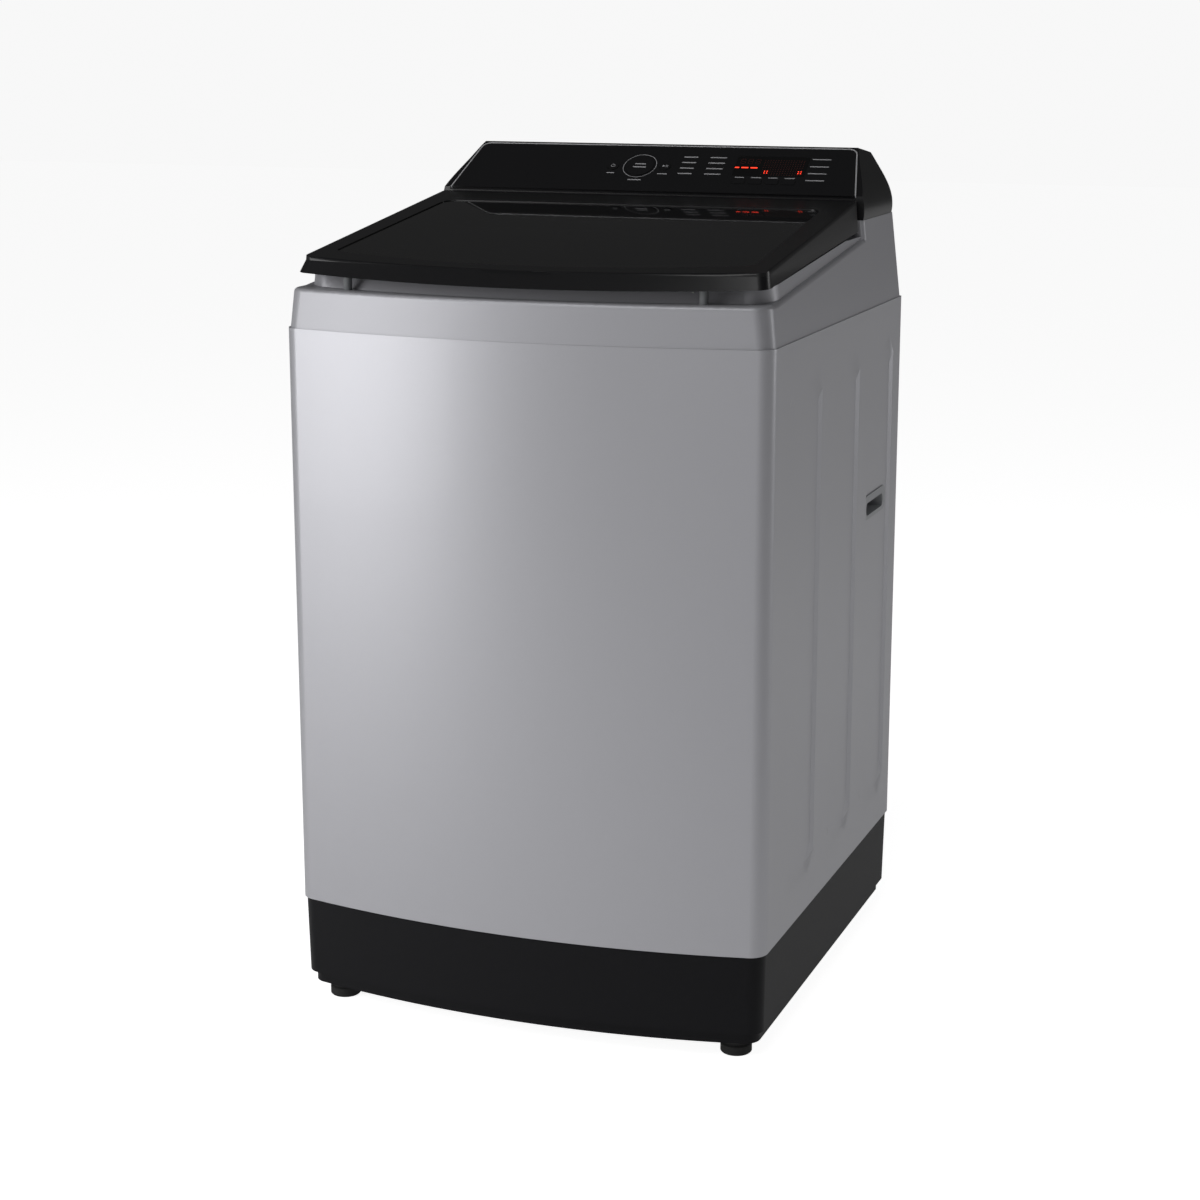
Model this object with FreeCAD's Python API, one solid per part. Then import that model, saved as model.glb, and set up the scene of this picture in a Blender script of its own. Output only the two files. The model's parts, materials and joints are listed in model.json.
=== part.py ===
import FreeCAD, Part
import math
import os

# Top load washing machine, one STEP file for each separate piece.
# Millimetres. X runs to the right, Y to the back, Z up, and the floor is z = 0.
# The front is bowed and faces -Y. The machine stands centred over the origin.

V = FreeCAD.Vector

# Cabinet
WIDTH = 540.0
FRONT_Y = -284.0
BACK_Y = 282.0
FRONT_BOW = 32.0
SHEET = 1.2
SKIRT_BASE_Z = 20.0
SKIRT_STEP_Z = 33.0
CABINET_BASE_Z = 121.0
CABINET_TOP_Z = 758.5
PANEL_DEPTH = 3.0
PANEL_Z = (160.0, 719.0)
SIDE_PANELS_Y = ((-188.0, -65.0), (-9.0, 91.0), (133.0, 244.0))

# Grip in each side
GRIP_FLANGE_Y = (134.0, 228.0)
GRIP_FLANGE_Z = (513.0, 541.5)
GRIP_POCKET_Y = (141.0, 217.0)
GRIP_POCKET_Z = (518.0, 533.0)
GRIP_DEPTH = 30.0
WALL = 3.0

# Top cover, lid and hinge
COVER_LEAN = 0.1113
COVER_EDGE_Z = 800.5
COVER_ROUND = 5.0
DECK_SLOPE = 0.079
LID_REAR_Y = 134.0
LID_BASE_Z = 816.5
LID_BASE_Y = -234.5
LID_GAP = 2.0
LID_SLOPE = 0.130
LID_TOP_Z = 832.0
LID_TOP_Y = -233.0
GLASS_THICK = 4.0
GLASS_FRONT = (234.0, -200.0, -237.0)
GLASS_REAR = (225.8, 76.0)
HINGE_Y = 118.0
HINGE_Z = 866.0
HINGE_PIN_R = 3.0
EAR_R = 5.5
MOUTH_X = 205.0
MOUTH_Y = (-200.0, 79.0)
TROUGH_Z = 838.5

# Control housing and its sloping fascia
HOUSING_Z = 856.5
HOUSING_Y = 138.5
FASCIA_FOOT_Z = 883.0
FASCIA_SLOPE = 36.2
FASCIA_LENGTH = 83.0
FASCIA_FOOT_X = 248.3
FASCIA_HEAD_X = 231.6
FASCIA_THICK = 2.5
CROWN_Z = 933.6
CROWN_FALL = 0.16
TRIM = 1.7
BUTTON_GAP = 0.3
ROUND_BUTTONS = {"power_button": (-55.0, 44.0, 7.0),
                 "cycle_button": (-22.0, 45.0, 17.0),
                 "start_button": (9.0, 45.0, 7.0)}
KEY_NAMES = ("level_key", "wash_key", "rinse_key", "spin_key")
KEY_U = (104.0, 124.0, 144.0, 164.0)
KEY_V = 21.0
KEY_SIZE = (16.0, 8.0)
DISPLAY = (94.0, 180.0, 31.0, 66.0)

# Detergent drawer
BOX_X = (-80.0, 104.0)
BOX_Y = (82.0, 206.0)
BOX_Z = (788.0, 835.5)
BOX_WALL = 2.0
DRAWER_GAP = 0.6

# Washing unit, all on one upright axis
AXIS_Y = 5.0
TUB_R = 247.0
TUB_WALL = 3.0
TUB_BASE_Z = 225.0
TUB_TOP_Z = 730.0
BASKET_R = 226.0
BASKET_BASE_Z = 262.0
BASKET_TOP_Z = 690.0
RING_OUT_R = 232.0
RING_IN_R = 200.0
RING_TOP_Z = 722.0
PULSATOR_R = 150.0
PLATE_Z = (207.0, 213.0)
SPIN_TUBE_R = 16.0
SHAFT_R = 9.0
RUN = 0.05

# Belt drive
MOTOR_Y = 165.0
MOTOR_R = 58.0
MOTOR_SHAFT_R = 6.0
DRIVEN_GROOVE_R = 60.0
MOTOR_GROOVE_R = 20.0
PULLEY_Z = (96.0, 112.0)
BELT_Z = (99.0, 109.0)
BELT_THICK = 6.0
BELT_GAP = 0.3

# Hanging rods and springs
ROD_X = 205.0
ROD_FRONT_Y = -200.0
ROD_REAR_Y = 210.0
ROD_R = 4.0
ROD_BASE_Z = 235.0
BRACKET_Z = (744.0, 746.0)
EAR_Z = (330.0, 336.0)
SPRING_R = 14.0
SPRING_WIRE_R = 2.2
SPRING_TURNS = 8

# Drain
DRAIN_X = -130.0
DRAIN_Y = 60.0
DRAIN_Z = 62.0
DRAIN_BEND_R = 50.0
SPIGOT_R = 14.0
SPIGOT_BORE_R = 11.0
HOSE_GAP = 0.4
HOSE_R = 17.0
HOSE_TOP_Z = 160.0

# Water inlet and level sensor
INLET_X = 10.0
INLET_Z = 815.0
THREAD_R = 13.2
THREAD_BORE_R = 9.0
SENSOR_X = -150.0
SENSOR_Y = 240.0
SENSOR_Z = 790.0

# Feet
FOOT_X = 232.0
FOOT_FRONT_Y = -221.0
FOOT_REAR_Y = 232.0
FOOT_R = 17.0
FOOT_HEAD_Z = 25.0
STEM_R = 5.0
NUT_Z = (30.0, 35.0)
BOSS_TOP_Z = 80.0

# Plan outlines: half width, front centre, bow, back, front radius, back radius
CABINET_PLAN = (WIDTH / 2, FRONT_Y, FRONT_BOW, BACK_Y, 20.0, 6.0)
SKIRT_TOP_PLAN = (WIDTH / 2 - 2.0, FRONT_Y + 2.0, FRONT_BOW, BACK_Y - 2.0, 19.0, 6.0)
SKIRT_LOW_PLAN = (WIDTH / 2 - 3.5, FRONT_Y + 3.5, FRONT_BOW, BACK_Y - 3.5, 19.0, 6.0)
SKIRT_FLANGE_PLAN = (WIDTH / 2 - 9.0, FRONT_Y + 9.0, FRONT_BOW, BACK_Y - 9.0, 18.0, 6.0)


def box(x0, x1, y0, y1, z0, z1):
    return Part.makeBox(x1 - x0, y1 - y0, z1 - z0, V(x0, y0, z0))


def post(radius, z0, z1, x=0.0, y=0.0):
    return Part.makeCylinder(radius, z1 - z0, V(x, y, z0))


def tube(r_out, r_in, z0, z1, x=0.0, y=0.0):
    return post(r_out, z0, z1, x, y).cut(post(r_in, z0 - 1, z1 + 1, x, y))


def bar_x(radius, x0, x1, y, z):
    return Part.makeCylinder(radius, x1 - x0, V(x0, y, z), V(1, 0, 0))


def bar_y(radius, y0, y1, x, z):
    return Part.makeCylinder(radius, y1 - y0, V(x, y0, z), V(0, 1, 0))


def turned(profile, x=0.0, y=0.0):
    """Solid of revolution about an upright axis from a closed (radius, z) profile."""
    wire = Part.makePolygon([V(r, 0, z) for r, z in profile + profile[:1]])
    solid = Part.Face(wire).revolve(V(0, 0, 0), V(0, 0, 1), 360)
    solid.translate(V(x, y, 0))
    return solid


def slab(profile, x0, x1):
    """Closed (y, z) outline run along X."""
    wire = Part.makePolygon([V(x0, y, z) for y, z in profile + profile[:1]])
    return Part.Face(wire).extrude(V(x1 - x0, 0, 0))


def fused(shapes):
    return shapes[0].fuse(shapes[1:]).removeSplitter()


def mirrored(shape):
    return shape.mirror(V(0, 0, 0), V(1, 0, 0))


def both_sides(shape):
    return Part.makeCompound([shape, mirrored(shape)])


def round_upright(solid, radius):
    edges = []
    for edge in solid.Edges:
        ends = [vertex.Point for vertex in edge.Vertexes]
        if len(ends) == 2 and abs(ends[0].x - ends[1].x) < 1e-6 and abs(ends[0].y - ends[1].y) < 1e-6:
            edges.append(edge)
    return solid.makeFillet(radius, edges)


def rounded_box(x0, x1, y0, y1, z0, z1, radius):
    return round_upright(box(x0, x1, y0, y1, z0, z1), radius)


def plan_wire(plan, z, inset=0.0):
    """Bowed-front outline with rounded corners at height z."""
    half, y_front, bow, y_back, r_front, r_back = plan
    arc_r = (half ** 2 + bow ** 2) / (2 * bow)
    arc_y = y_front + arc_r
    arc_r = arc_r - inset
    half = half - inset
    y_back = y_back - inset
    r_front = max(r_front - inset, 1.5)
    r_back = max(r_back - inset, 1.0)
    cx = half - r_front
    cy = arc_y - math.sqrt((arc_r - r_front) ** 2 - cx ** 2)
    grow = arc_r / (arc_r - r_front)
    tx = cx * grow
    ty = arc_y + (cy - arc_y) * grow
    mid = math.atan2(ty - cy, tx - cx) / 2
    mx = cx + r_front * math.cos(mid)
    my = cy + r_front * math.sin(mid)
    bend = r_back * (1 - math.sqrt(0.5))
    right = [V(tx, ty, z), V(mx, my, z), V(half, cy, z), V(half, y_back - r_back, z),
             V(half - bend, y_back - bend, z), V(half - r_back, y_back, z)]
    left = [V(-p.x, p.y, p.z) for p in right]
    front = V(0, arc_y - arc_r, z)
    edges = [Part.Arc(left[0], front, right[0]).toShape(),
             Part.Arc(right[0], right[1], right[2]).toShape(),
             Part.makeLine(right[2], right[3]),
             Part.Arc(right[3], right[4], right[5]).toShape(),
             Part.makeLine(right[5], left[5]),
             Part.Arc(left[5], left[4], left[3]).toShape(),
             Part.makeLine(left[3], left[2]),
             Part.Arc(left[2], left[1], left[0]).toShape()]
    return Part.Wire(edges)


def plan_prism(plan, z0, z1, inset=0.0):
    return Part.Face(plan_wire(plan, z0, inset)).extrude(V(0, 0, z1 - z0))


def plan_loft(sections, inset=0.0):
    wires = [plan_wire(plan, z, inset) for plan, z in sections]
    return Part.makeLoft(wires, True, True)


def sunk_panel(y0, y1, z0, z1, depth, grow):
    """Tapered pocket of the right side panel, its mouth on the side face."""
    side = WIDTH / 2
    wires = []
    for x, shrink in ((side + 0.01, -grow), (side - depth, 2 * depth - grow)):
        low = V(x, y0 + shrink, z0 + 2 * shrink)
        high = V(x, y1 - shrink, z1 - 2 * shrink)
        cut = 22.0
        corners = [V(x, low.y + cut, low.z), V(x, high.y - cut, low.z), V(x, high.y, low.z + cut),
                   V(x, high.y, high.z - cut), V(x, high.y - cut, high.z), V(x, low.y + cut, high.z),
                   V(x, low.y, high.z - cut), V(x, low.y, low.z + cut)]
        wires.append(Part.makePolygon(corners + corners[:1]))
    return Part.makeLoft(wires, True, True)


def rod_places():
    places = []
    for x in (-ROD_X, ROD_X):
        for y in (ROD_FRONT_Y, ROD_REAR_Y):
            places.append((x, y))
    return places


def foot_places():
    return {"front_left": (-FOOT_X, FOOT_FRONT_Y), "front_right": (FOOT_X, FOOT_FRONT_Y),
            "rear_left": (-FOOT_X, FOOT_REAR_Y), "rear_right": (FOOT_X, FOOT_REAR_Y)}


# ---------------------------------------------------------------- cabinet

def cabinet():
    outer = plan_prism(CABINET_PLAN, CABINET_BASE_Z, CABINET_TOP_Z)
    inner = plan_prism(CABINET_PLAN, CABINET_BASE_Z + SHEET, CABINET_TOP_Z - SHEET, SHEET)
    for y0, y1 in SIDE_PANELS_Y:
        pocket = sunk_panel(y0, y1, PANEL_Z[0], PANEL_Z[1], PANEL_DEPTH, 0.0)
        backing = sunk_panel(y0, y1, PANEL_Z[0], PANEL_Z[1], PANEL_DEPTH + SHEET, SHEET)
        for tool in (pocket, mirrored(pocket)):
            outer = outer.cut(tool)
        for tool in (backing, mirrored(backing)):
            inner = inner.cut(tool)
    shell = outer.cut(inner)
    top_hole = plan_prism(CABINET_PLAN, CABINET_TOP_Z - 5, CABINET_TOP_Z + 5, 14.0)
    base_hole = plan_prism(CABINET_PLAN, CABINET_BASE_Z - 5, CABINET_BASE_Z + 5, 19.0)
    back_hole = box(-245, 245, BACK_Y - 6, BACK_Y + 6, CABINET_BASE_Z + 19, CABINET_TOP_Z - 18.5)
    grip_hole = box(WIDTH / 2 - 10, WIDTH / 2 + 1, GRIP_POCKET_Y[0] - 2.1, GRIP_POCKET_Y[1] + 2.1,
                    GRIP_POCKET_Z[0] - 2.1, GRIP_POCKET_Z[1] + 2.1)
    shell = shell.cut([top_hole, base_hole, back_hole, grip_hole, mirrored(grip_hole)])
    brackets = []
    for x0, x1 in ((-270.0, -172.0), (172.0, 270.0)):
        brackets.append(box(x0, x1, -300, -150, BRACKET_Z[0], BRACKET_Z[1]))
        brackets.append(box(x0, x1, 165, 300, BRACKET_Z[0], BRACKET_Z[1]))
    limit = plan_prism(CABINET_PLAN, CABINET_TOP_Z - 40, CABINET_TOP_Z - 5, SHEET / 2)
    clear = post(TUB_R + 11, 700, 800, 0, AXIS_Y)
    plates = [bracket.common(limit).cut(clear) for bracket in brackets]
    shell = fused([shell] + plates)
    for x, y in rod_places():
        shell = shell.cut(post(ROD_R + 5, BRACKET_Z[0] - 1, BRACKET_Z[1] + 1, x, y))
    for x, z in back_screw_places():
        shell = shell.cut(bar_y(2.05, BACK_Y - 5, BACK_Y + 5, x, z))
    return shell


def back_screw_places():
    return [(x, z) for x in (-252.0, 252.0) for z in (150.0, 345.0, 540.0, 735.0)]


def back_panel():
    panel = box(-259, 259, BACK_Y, BACK_Y + SHEET, CABINET_BASE_Z + 8, CABINET_TOP_Z - 8)
    for z in (250.0, 370.0, 490.0):
        bead = box(-200, 200, BACK_Y - 3, BACK_Y, z, z + 60)
        groove = box(-198.8, 198.8, BACK_Y - 3 + SHEET, BACK_Y + 5, z + SHEET, z + 60 - SHEET)
        panel = panel.fuse(bead).cut(groove)
    for x, z in back_screw_places():
        panel = panel.cut(bar_y(2.05, BACK_Y - 5, BACK_Y + 5, x, z))
    panel = panel.cut(bar_y(8.05, BACK_Y - 5, BACK_Y + 5, 200, 690))
    return panel.removeSplitter()


def back_panel_screws():
    screws = []
    for x, z in back_screw_places():
        head = bar_y(4.5, BACK_Y + SHEET, BACK_Y + 3, x, z)
        screws.append(head.fuse(bar_y(2.0, BACK_Y - 8, BACK_Y + SHEET + 0.5, x, z)))
    return Part.makeCompound(screws)


def power_cord_gland():
    flange = bar_y(14, BACK_Y + SHEET, BACK_Y + 3, 200, 690)
    neck = bar_y(8, BACK_Y - 12, BACK_Y + SHEET, 200, 690)
    nut = bar_y(12, BACK_Y - 6, BACK_Y, 200, 690)
    return fused([flange, neck, nut]).cut(bar_y(4.5, BACK_Y - 20, BACK_Y + 10, 200, 690))


def base_frame():
    outer = plan_loft([(SKIRT_FLANGE_PLAN, SKIRT_BASE_Z), (SKIRT_FLANGE_PLAN, SKIRT_STEP_Z)])
    upper = plan_loft([(SKIRT_LOW_PLAN, SKIRT_STEP_Z), (SKIRT_TOP_PLAN, CABINET_BASE_Z)])
    outer = outer.fuse(upper)
    hollow = plan_prism(SKIRT_FLANGE_PLAN, SKIRT_BASE_Z - 1, SKIRT_STEP_Z + 10, 4.0)
    room = plan_loft([(SKIRT_LOW_PLAN, SKIRT_STEP_Z + 4), (SKIRT_TOP_PLAN, CABINET_BASE_Z - 3)], 4.0)
    mouth = plan_prism(SKIRT_TOP_PLAN, CABINET_BASE_Z - 5, CABINET_BASE_Z + 1, 24.0)
    frame = outer.cut([hollow, room, mouth])
    for x, y in foot_places().values():
        side = 1 if x > 0 else -1
        end = 1 if y > 0 else -1
        deck = box(min(x - 20 * side, x + 60 * side), max(x - 20 * side, x + 60 * side),
                   min(y - 25 * end, y + 90 * end), max(y - 25 * end, y + 90 * end),
                   BOSS_TOP_Z - 4, BOSS_TOP_Z)
        rib = box(min(x, x + 60 * side), max(x, x + 60 * side), y - 2.5, y + 2.5,
                  NUT_Z[1] + 5, BOSS_TOP_Z)
        boss = post(15, NUT_Z[1], BOSS_TOP_Z, x, y)
        frame = frame.fuse([deck.common(outer), rib.common(outer), boss])
    for x, y in foot_places().values():
        frame = frame.cut(post(STEM_R + RUN, SKIRT_BASE_Z, BOSS_TOP_Z + 5, x, y))
    bay = box(DRAIN_X - 33, DRAIN_X + 33, BACK_Y - 27, BACK_Y + 10, DRAIN_Z - 22, DRAIN_Z + 23)
    bay_room = box(DRAIN_X - 30, DRAIN_X + 30, BACK_Y - 24, BACK_Y + 10, DRAIN_Z - 19, DRAIN_Z + 20)
    frame = frame.fuse(bay.common(outer)).cut(bay_room)
    frame = frame.cut(bar_y(SPIGOT_R, BACK_Y - 30, BACK_Y, DRAIN_X, DRAIN_Z))
    return frame.removeSplitter()


def bottom_guard():
    plate = plan_prism(SKIRT_FLANGE_PLAN, SKIRT_BASE_Z + 3, SKIRT_BASE_Z + 5.5, 4.0)
    for x, y in foot_places().values():
        plate = plate.cut(post(FOOT_R + 3, SKIRT_BASE_Z, SKIRT_BASE_Z + 10, x, y))
    for row in range(8):
        y = -150.0 + row * 42.0
        slot = rounded_box(-120, 120, y, y + 12, SKIRT_BASE_Z, SKIRT_BASE_Z + 10, 5.9)
        plate = plate.cut(slot)
    for x in (-170.0, 170.0):
        rib = box(x - 2, x + 2, -180, 200, SKIRT_BASE_Z + 5.5, SKIRT_BASE_Z + 15)
        plate = plate.fuse(rib)
    return plate.removeSplitter()


def grip():
    face_x = WIDTH / 2 - PANEL_DEPTH
    flange = box(face_x, face_x + 1.5, GRIP_FLANGE_Y[0], GRIP_FLANGE_Y[1],
                 GRIP_FLANGE_Z[0], GRIP_FLANGE_Z[1])
    ends = [edge for edge in flange.Edges if abs(edge.tangentAt(edge.FirstParameter).x) > 0.99]
    y0, y1 = SIDE_PANELS_Y[2]
    recess = sunk_panel(y0, y1, PANEL_Z[0], PANEL_Z[1], PANEL_DEPTH, -0.3)
    flange = flange.makeFillet(11.0, ends).common(recess)
    cup = box(face_x - GRIP_DEPTH - 2, face_x + 0.5, GRIP_POCKET_Y[0] - 2, GRIP_POCKET_Y[1] + 2,
              GRIP_POCKET_Z[0] - 2, GRIP_POCKET_Z[1] + 2)
    room = box(face_x - GRIP_DEPTH, face_x + 5, GRIP_POCKET_Y[0], GRIP_POCKET_Y[1],
               GRIP_POCKET_Z[0], GRIP_POCKET_Z[1])
    ends = [edge for edge in room.Edges if abs(edge.tangentAt(edge.FirstParameter).x) > 0.99]
    room = room.makeFillet(6.0, ends)
    return flange.fuse(cup).cut(room).removeSplitter()


def foot(x, y):
    profile = [(0, 0), (FOOT_R - 1.5, 0), (FOOT_R, 1.5), (FOOT_R, 10), (FOOT_R - 2, 12), (FOOT_R - 2, 14),
               (FOOT_R, 15), (FOOT_R, FOOT_HEAD_Z - 1), (FOOT_R - 1, FOOT_HEAD_Z), (STEM_R, FOOT_HEAD_Z),
               (STEM_R, BOSS_TOP_Z - 4), (STEM_R - 1, BOSS_TOP_Z - 3), (0, BOSS_TOP_Z - 3)]
    return turned(profile, x, y)


def foot_locknuts():
    nuts = []
    for x, y in foot_places().values():
        corners = []
        for side in range(7):
            angle = math.radians(60 * side)
            corners.append(V(x + 9.8 * math.cos(angle), y + 9.8 * math.sin(angle), NUT_Z[0]))
        nut = Part.Face(Part.makePolygon(corners)).extrude(V(0, 0, NUT_Z[1] - NUT_Z[0]))
        nuts.append(nut.cut(post(STEM_R + RUN, 0, 60, x, y)))
    return Part.makeCompound(nuts)


# ---------------------------------------------------------------- top cover

def cover_half(z):
    return WIDTH / 2 - 1.5 - COVER_LEAN * (z - CABINET_TOP_Z)


def deck_z(y):
    return LID_BASE_Z - LID_GAP + DECK_SLOPE * (y - LID_BASE_Y)


def cover_form(inset, drop):
    """Envelope of the top cover, moved in by inset and down by drop."""
    low_z = CABINET_TOP_Z - 1
    high_z = 870.0
    skin = plan_loft([((cover_half(low_z), -283.4, 33.0, 281.0, 21.0, 8.0), low_z),
                      ((cover_half(high_z), -282.4, 36.0, 281.0, 24.0, 12.0), high_z)], inset)
    edge = COVER_EDGE_Z - drop
    rear = HOUSING_Y + inset
    crown = HOUSING_Z - drop
    skirt = slab([(-300, 750), (-300, edge), (-217, edge), (rear, 836.0 - drop), (rear, crown),
                  (300, crown), (300, 750)], -300, 300)
    riser = plan_loft([((cover_half(low_z) - 5.0, -264.0, 44.0, 281.0, 40.0, 8.0), low_z),
                       ((cover_half(high_z) - 5.0, -264.0, 44.0, 281.0, 40.0, 8.0), high_z)], inset)
    deck = slab([(-300, 750), (-300, deck_z(-300) - drop), (MOUTH_Y[1], deck_z(MOUTH_Y[1]) - drop),
                 (MOUTH_Y[1], TROUGH_Z - drop), (rear, TROUGH_Z - drop), (rear, crown), (300, crown),
                 (300, 750)], -300, 300)
    shell = skin.common(skirt)
    if drop == 0.0:
        shell = shell.makeFillet(COVER_ROUND, cover_rim_edges(shell))
    return shell.fuse(riser.common(deck))


def cover_rim_edges(shell):
    """Upper edges of the front ledge and of the two sloping sides."""
    rim = []
    for edge in shell.Edges:
        bound = edge.BoundBox
        low = bound.ZMin > COVER_EDGE_Z - 0.5 and bound.YMax < HOUSING_Y + 0.5
        side = bound.XLength < 20 and max(abs(bound.XMax), abs(bound.XMin)) > 240 and bound.ZLength < 60
        front = bound.YMax < -230 and bound.XLength > 300
        if low and (side or front):
            rim.append(edge)
    return rim


def mouth_prism(z0, z1, grow=0.0):
    """Opening for the laundry, bowed at the front and straight at the drawer."""
    half = MOUTH_X + grow
    front = V(0, MOUTH_Y[0] - 16 - grow, z0)
    corners = [V(half, MOUTH_Y[0] - grow, z0), V(half, MOUTH_Y[1] + grow, z0)]
    left = [V(-p.x, p.y, p.z) for p in corners]
    edges = [Part.Arc(left[0], front, corners[0]).toShape(),
             Part.makeLine(corners[0], corners[1]),
             Part.makeLine(corners[1], left[1]),
             Part.makeLine(left[1], left[0])]
    solid = Part.Face(Part.Wire(edges)).extrude(V(0, 0, z1 - z0))
    return round_upright(solid, 45.0 + grow)


def inlet_bay(grow):
    return box(INLET_X - 45 - grow, INLET_X + 45 + grow, 258.0 - grow, 300.0,
               INLET_Z - 24 - grow, INLET_Z + 24 + grow)


def top_cover():
    skin = cover_form(0.0, 0.0)
    cavity = cover_form(WALL, WALL)
    collar = mouth_prism(762.0, 850.0, WALL).cut(mouth_prism(761.0, 851.0))
    bay = inlet_bay(WALL)
    room = cavity.cut([collar, bay])
    cover = skin.cut(room)
    cover = cover.cut(box(-300, 300, -300, 300, 700, CABINET_TOP_Z))
    cover = cover.cut([mouth_prism(750, 860), inlet_bay(0.0)])
    cover = cover.cut(box(BOX_X[0], BOX_X[1], MOUTH_Y[1] - 1, BOX_Y[0] + 0.5, BOX_Z[0], BOX_Z[1]))
    cover = cover.cut(bar_y(THREAD_R + 2.0, 250, 262, INLET_X, INLET_Z))
    cover = cover.cut(lock_slot(780.0, 850.0))
    for side in (-1, 1):
        x0 = min(222 * side, 232 * side)
        ear = slab([(HINGE_Y - EAR_R, TROUGH_Z - 1), (HINGE_Y + EAR_R, TROUGH_Z - 1),
                    (HINGE_Y + EAR_R, HINGE_Z), (HINGE_Y - EAR_R, HINGE_Z)], x0, x0 + 10)
        ear = ear.fuse(bar_x(EAR_R, x0, x0 + 10, HINGE_Y, HINGE_Z))
        cover = cover.fuse(ear).cut(bar_x(HINGE_PIN_R + RUN, x0 - 1, x0 + 11, HINGE_Y, HINGE_Z))
    return cover.removeSplitter()


def lock_slot(z0, z1):
    return box(158, 172, -229, -217, z0, z1)


def lid_lock():
    body = box(148, 182, -236, -211, 786, 830)
    top = slab([(-300, 700), (-300, deck_z(-300) - WALL), (100, deck_z(100) - WALL), (100, 700)], 100, 200)
    return body.common(top).cut(lock_slot(800.0, 850.0))


def lid_bumpers():
    stud = post(4.5, COVER_EDGE_Z, 830, 196, -247)
    lid_floor = slab([(-300, 700), (-300, deck_z(-300) + LID_GAP), (100, deck_z(100) + LID_GAP),
                      (100, 700)], 100, 300)
    return both_sides(stud.common(lid_floor))


def dispenser_box():
    body = box(BOX_X[0], BOX_X[1], BOX_Y[0], BOX_Y[1], BOX_Z[0], BOX_Z[1])
    room = box(BOX_X[0] + BOX_WALL, BOX_X[1] - BOX_WALL, BOX_Y[0] - 1, BOX_Y[1] - BOX_WALL,
               BOX_Z[0] + BOX_WALL, BOX_Z[1] - BOX_WALL)
    body = body.cut(room)
    body = body.cut(bar_y(6.0, BOX_Y[1] - 5, BOX_Y[1] + 5, INLET_X, INLET_Z))
    return body.cut(box(-40, 60, BOX_Y[0] + 6, BOX_Y[0] + 26, BOX_Z[0] - 1, BOX_Z[0] + 3))


def detergent_drawer():
    x0 = BOX_X[0] + BOX_WALL + DRAWER_GAP
    x1 = BOX_X[1] - BOX_WALL - DRAWER_GAP
    z0 = BOX_Z[0] + BOX_WALL
    body = box(x0, x1, MOUTH_Y[1] - 1, BOX_Y[1] - 8, z0, z0 + 36)
    powder = box(x0 + 2, 28, MOUTH_Y[1] + 2, BOX_Y[1] - 10, z0 + 2, z0 + 40)
    softener = box(30, x1 - 2, MOUTH_Y[1] + 2, BOX_Y[1] - 10, z0 + 2, z0 + 40)
    front = rounded_front(-76.0, 100.0, MOUTH_Y[1] - 7, MOUTH_Y[1] - 1, z0 + 2, 837.5)
    lip = box(-20, 44, MOUTH_Y[1] - 12, MOUTH_Y[1] - 6.5, z0 + 2, z0 + 5)
    drawer = fused([body.cut([powder, softener]), front, lip])
    return drawer.cut(box(-55, 8, 190, 204, z0 + 20, z0 + 60))


def rounded_front(x0, x1, y0, y1, z0, z1):
    panel = box(x0, x1, y0, y1, z0, z1)
    ends = [edge for edge in panel.Edges if abs(edge.tangentAt(edge.FirstParameter).y) > 0.99]
    return panel.makeFillet(7.0, ends)


def drawer_siphon():
    z0 = BOX_Z[0] + 2 * BOX_WALL
    base = box(45, 85, 140, 190, z0, z0 + 2)
    tower = post(7, z0, z0 + 24, 65, 165)
    cap = box(42, 88, 137, 193, z0 + 24, z0 + 27)
    return fused([base, tower, cap])


def inlet_valve():
    body = box(INLET_X - 20, INLET_X + 20, 222, 250, INLET_Z - 18, INLET_Z + 18)
    flange = box(INLET_X - 30, INLET_X + 30, 250, 255, INLET_Z - 20, INLET_Z + 20)
    nose = bar_y(THREAD_R, 254, 280.5, INLET_X, INLET_Z)
    pipe = bar_y(7.5, BOX_Y[1], 224, INLET_X, INLET_Z)
    coil = post(12, INLET_Z - 46, INLET_Z - 18, INLET_X, 236)
    valve = fused([body, flange, nose, pipe, coil])
    valve = valve.cut(bar_y(THREAD_BORE_R, 262, 285, INLET_X, INLET_Z))
    return valve.cut(bar_y(5.0, BOX_Y[1] - 1, 262.5, INLET_X, INLET_Z))


def level_sensor():
    body = post(20, SENSOR_Z, SENSOR_Z + 24, SENSOR_X, SENSOR_Y - 4)
    arm = box(SENSOR_X - 10, SENSOR_X + 10, SENSOR_Y + 10, 278, SENSOR_Z + 6, SENSOR_Z + 12)
    foot_plate = box(SENSOR_X - 16, SENSOR_X + 16, 275, 278, SENSOR_Z - 6, SENSOR_Z + 24)
    nipple = post(2.4, SENSOR_Z - 14, SENSOR_Z + 2, SENSOR_X, SENSOR_Y)
    return fused([body, arm, foot_plate, nipple])


def pressure_hose():
    return tube(4.5, 2.7, 268, SENSOR_Z, SENSOR_X, SENSOR_Y)


# ---------------------------------------------------------------- lid

def lid_form(inset):
    sections = [((262.3, -288.0, 43.5, LID_REAR_Y, 16.0, 10.0), 808.0),
                ((256.4, -260.5, 29.5, LID_REAR_Y, 14.0, 10.0), 828.5),
                ((251.4, -259.5, 29.5, LID_REAR_Y, 14.0, 10.0), 886.0)]
    return plan_loft(sections, inset)


def lid_top_z(y):
    return LID_TOP_Z + LID_SLOPE * (y - LID_TOP_Y)


def lid_layer(bottom, top):
    """Everything between two heights above the lid's underside and below its top face."""
    y0 = -300.0
    y1 = 140.0
    low = [(y, bottom(y)) for y in (y0, y1)]
    high = [(y, top(y)) for y in (y1, y0)]
    return slab(low + high, -300, 300)


def lid_floor_z(y):
    return deck_z(y) + LID_GAP


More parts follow.
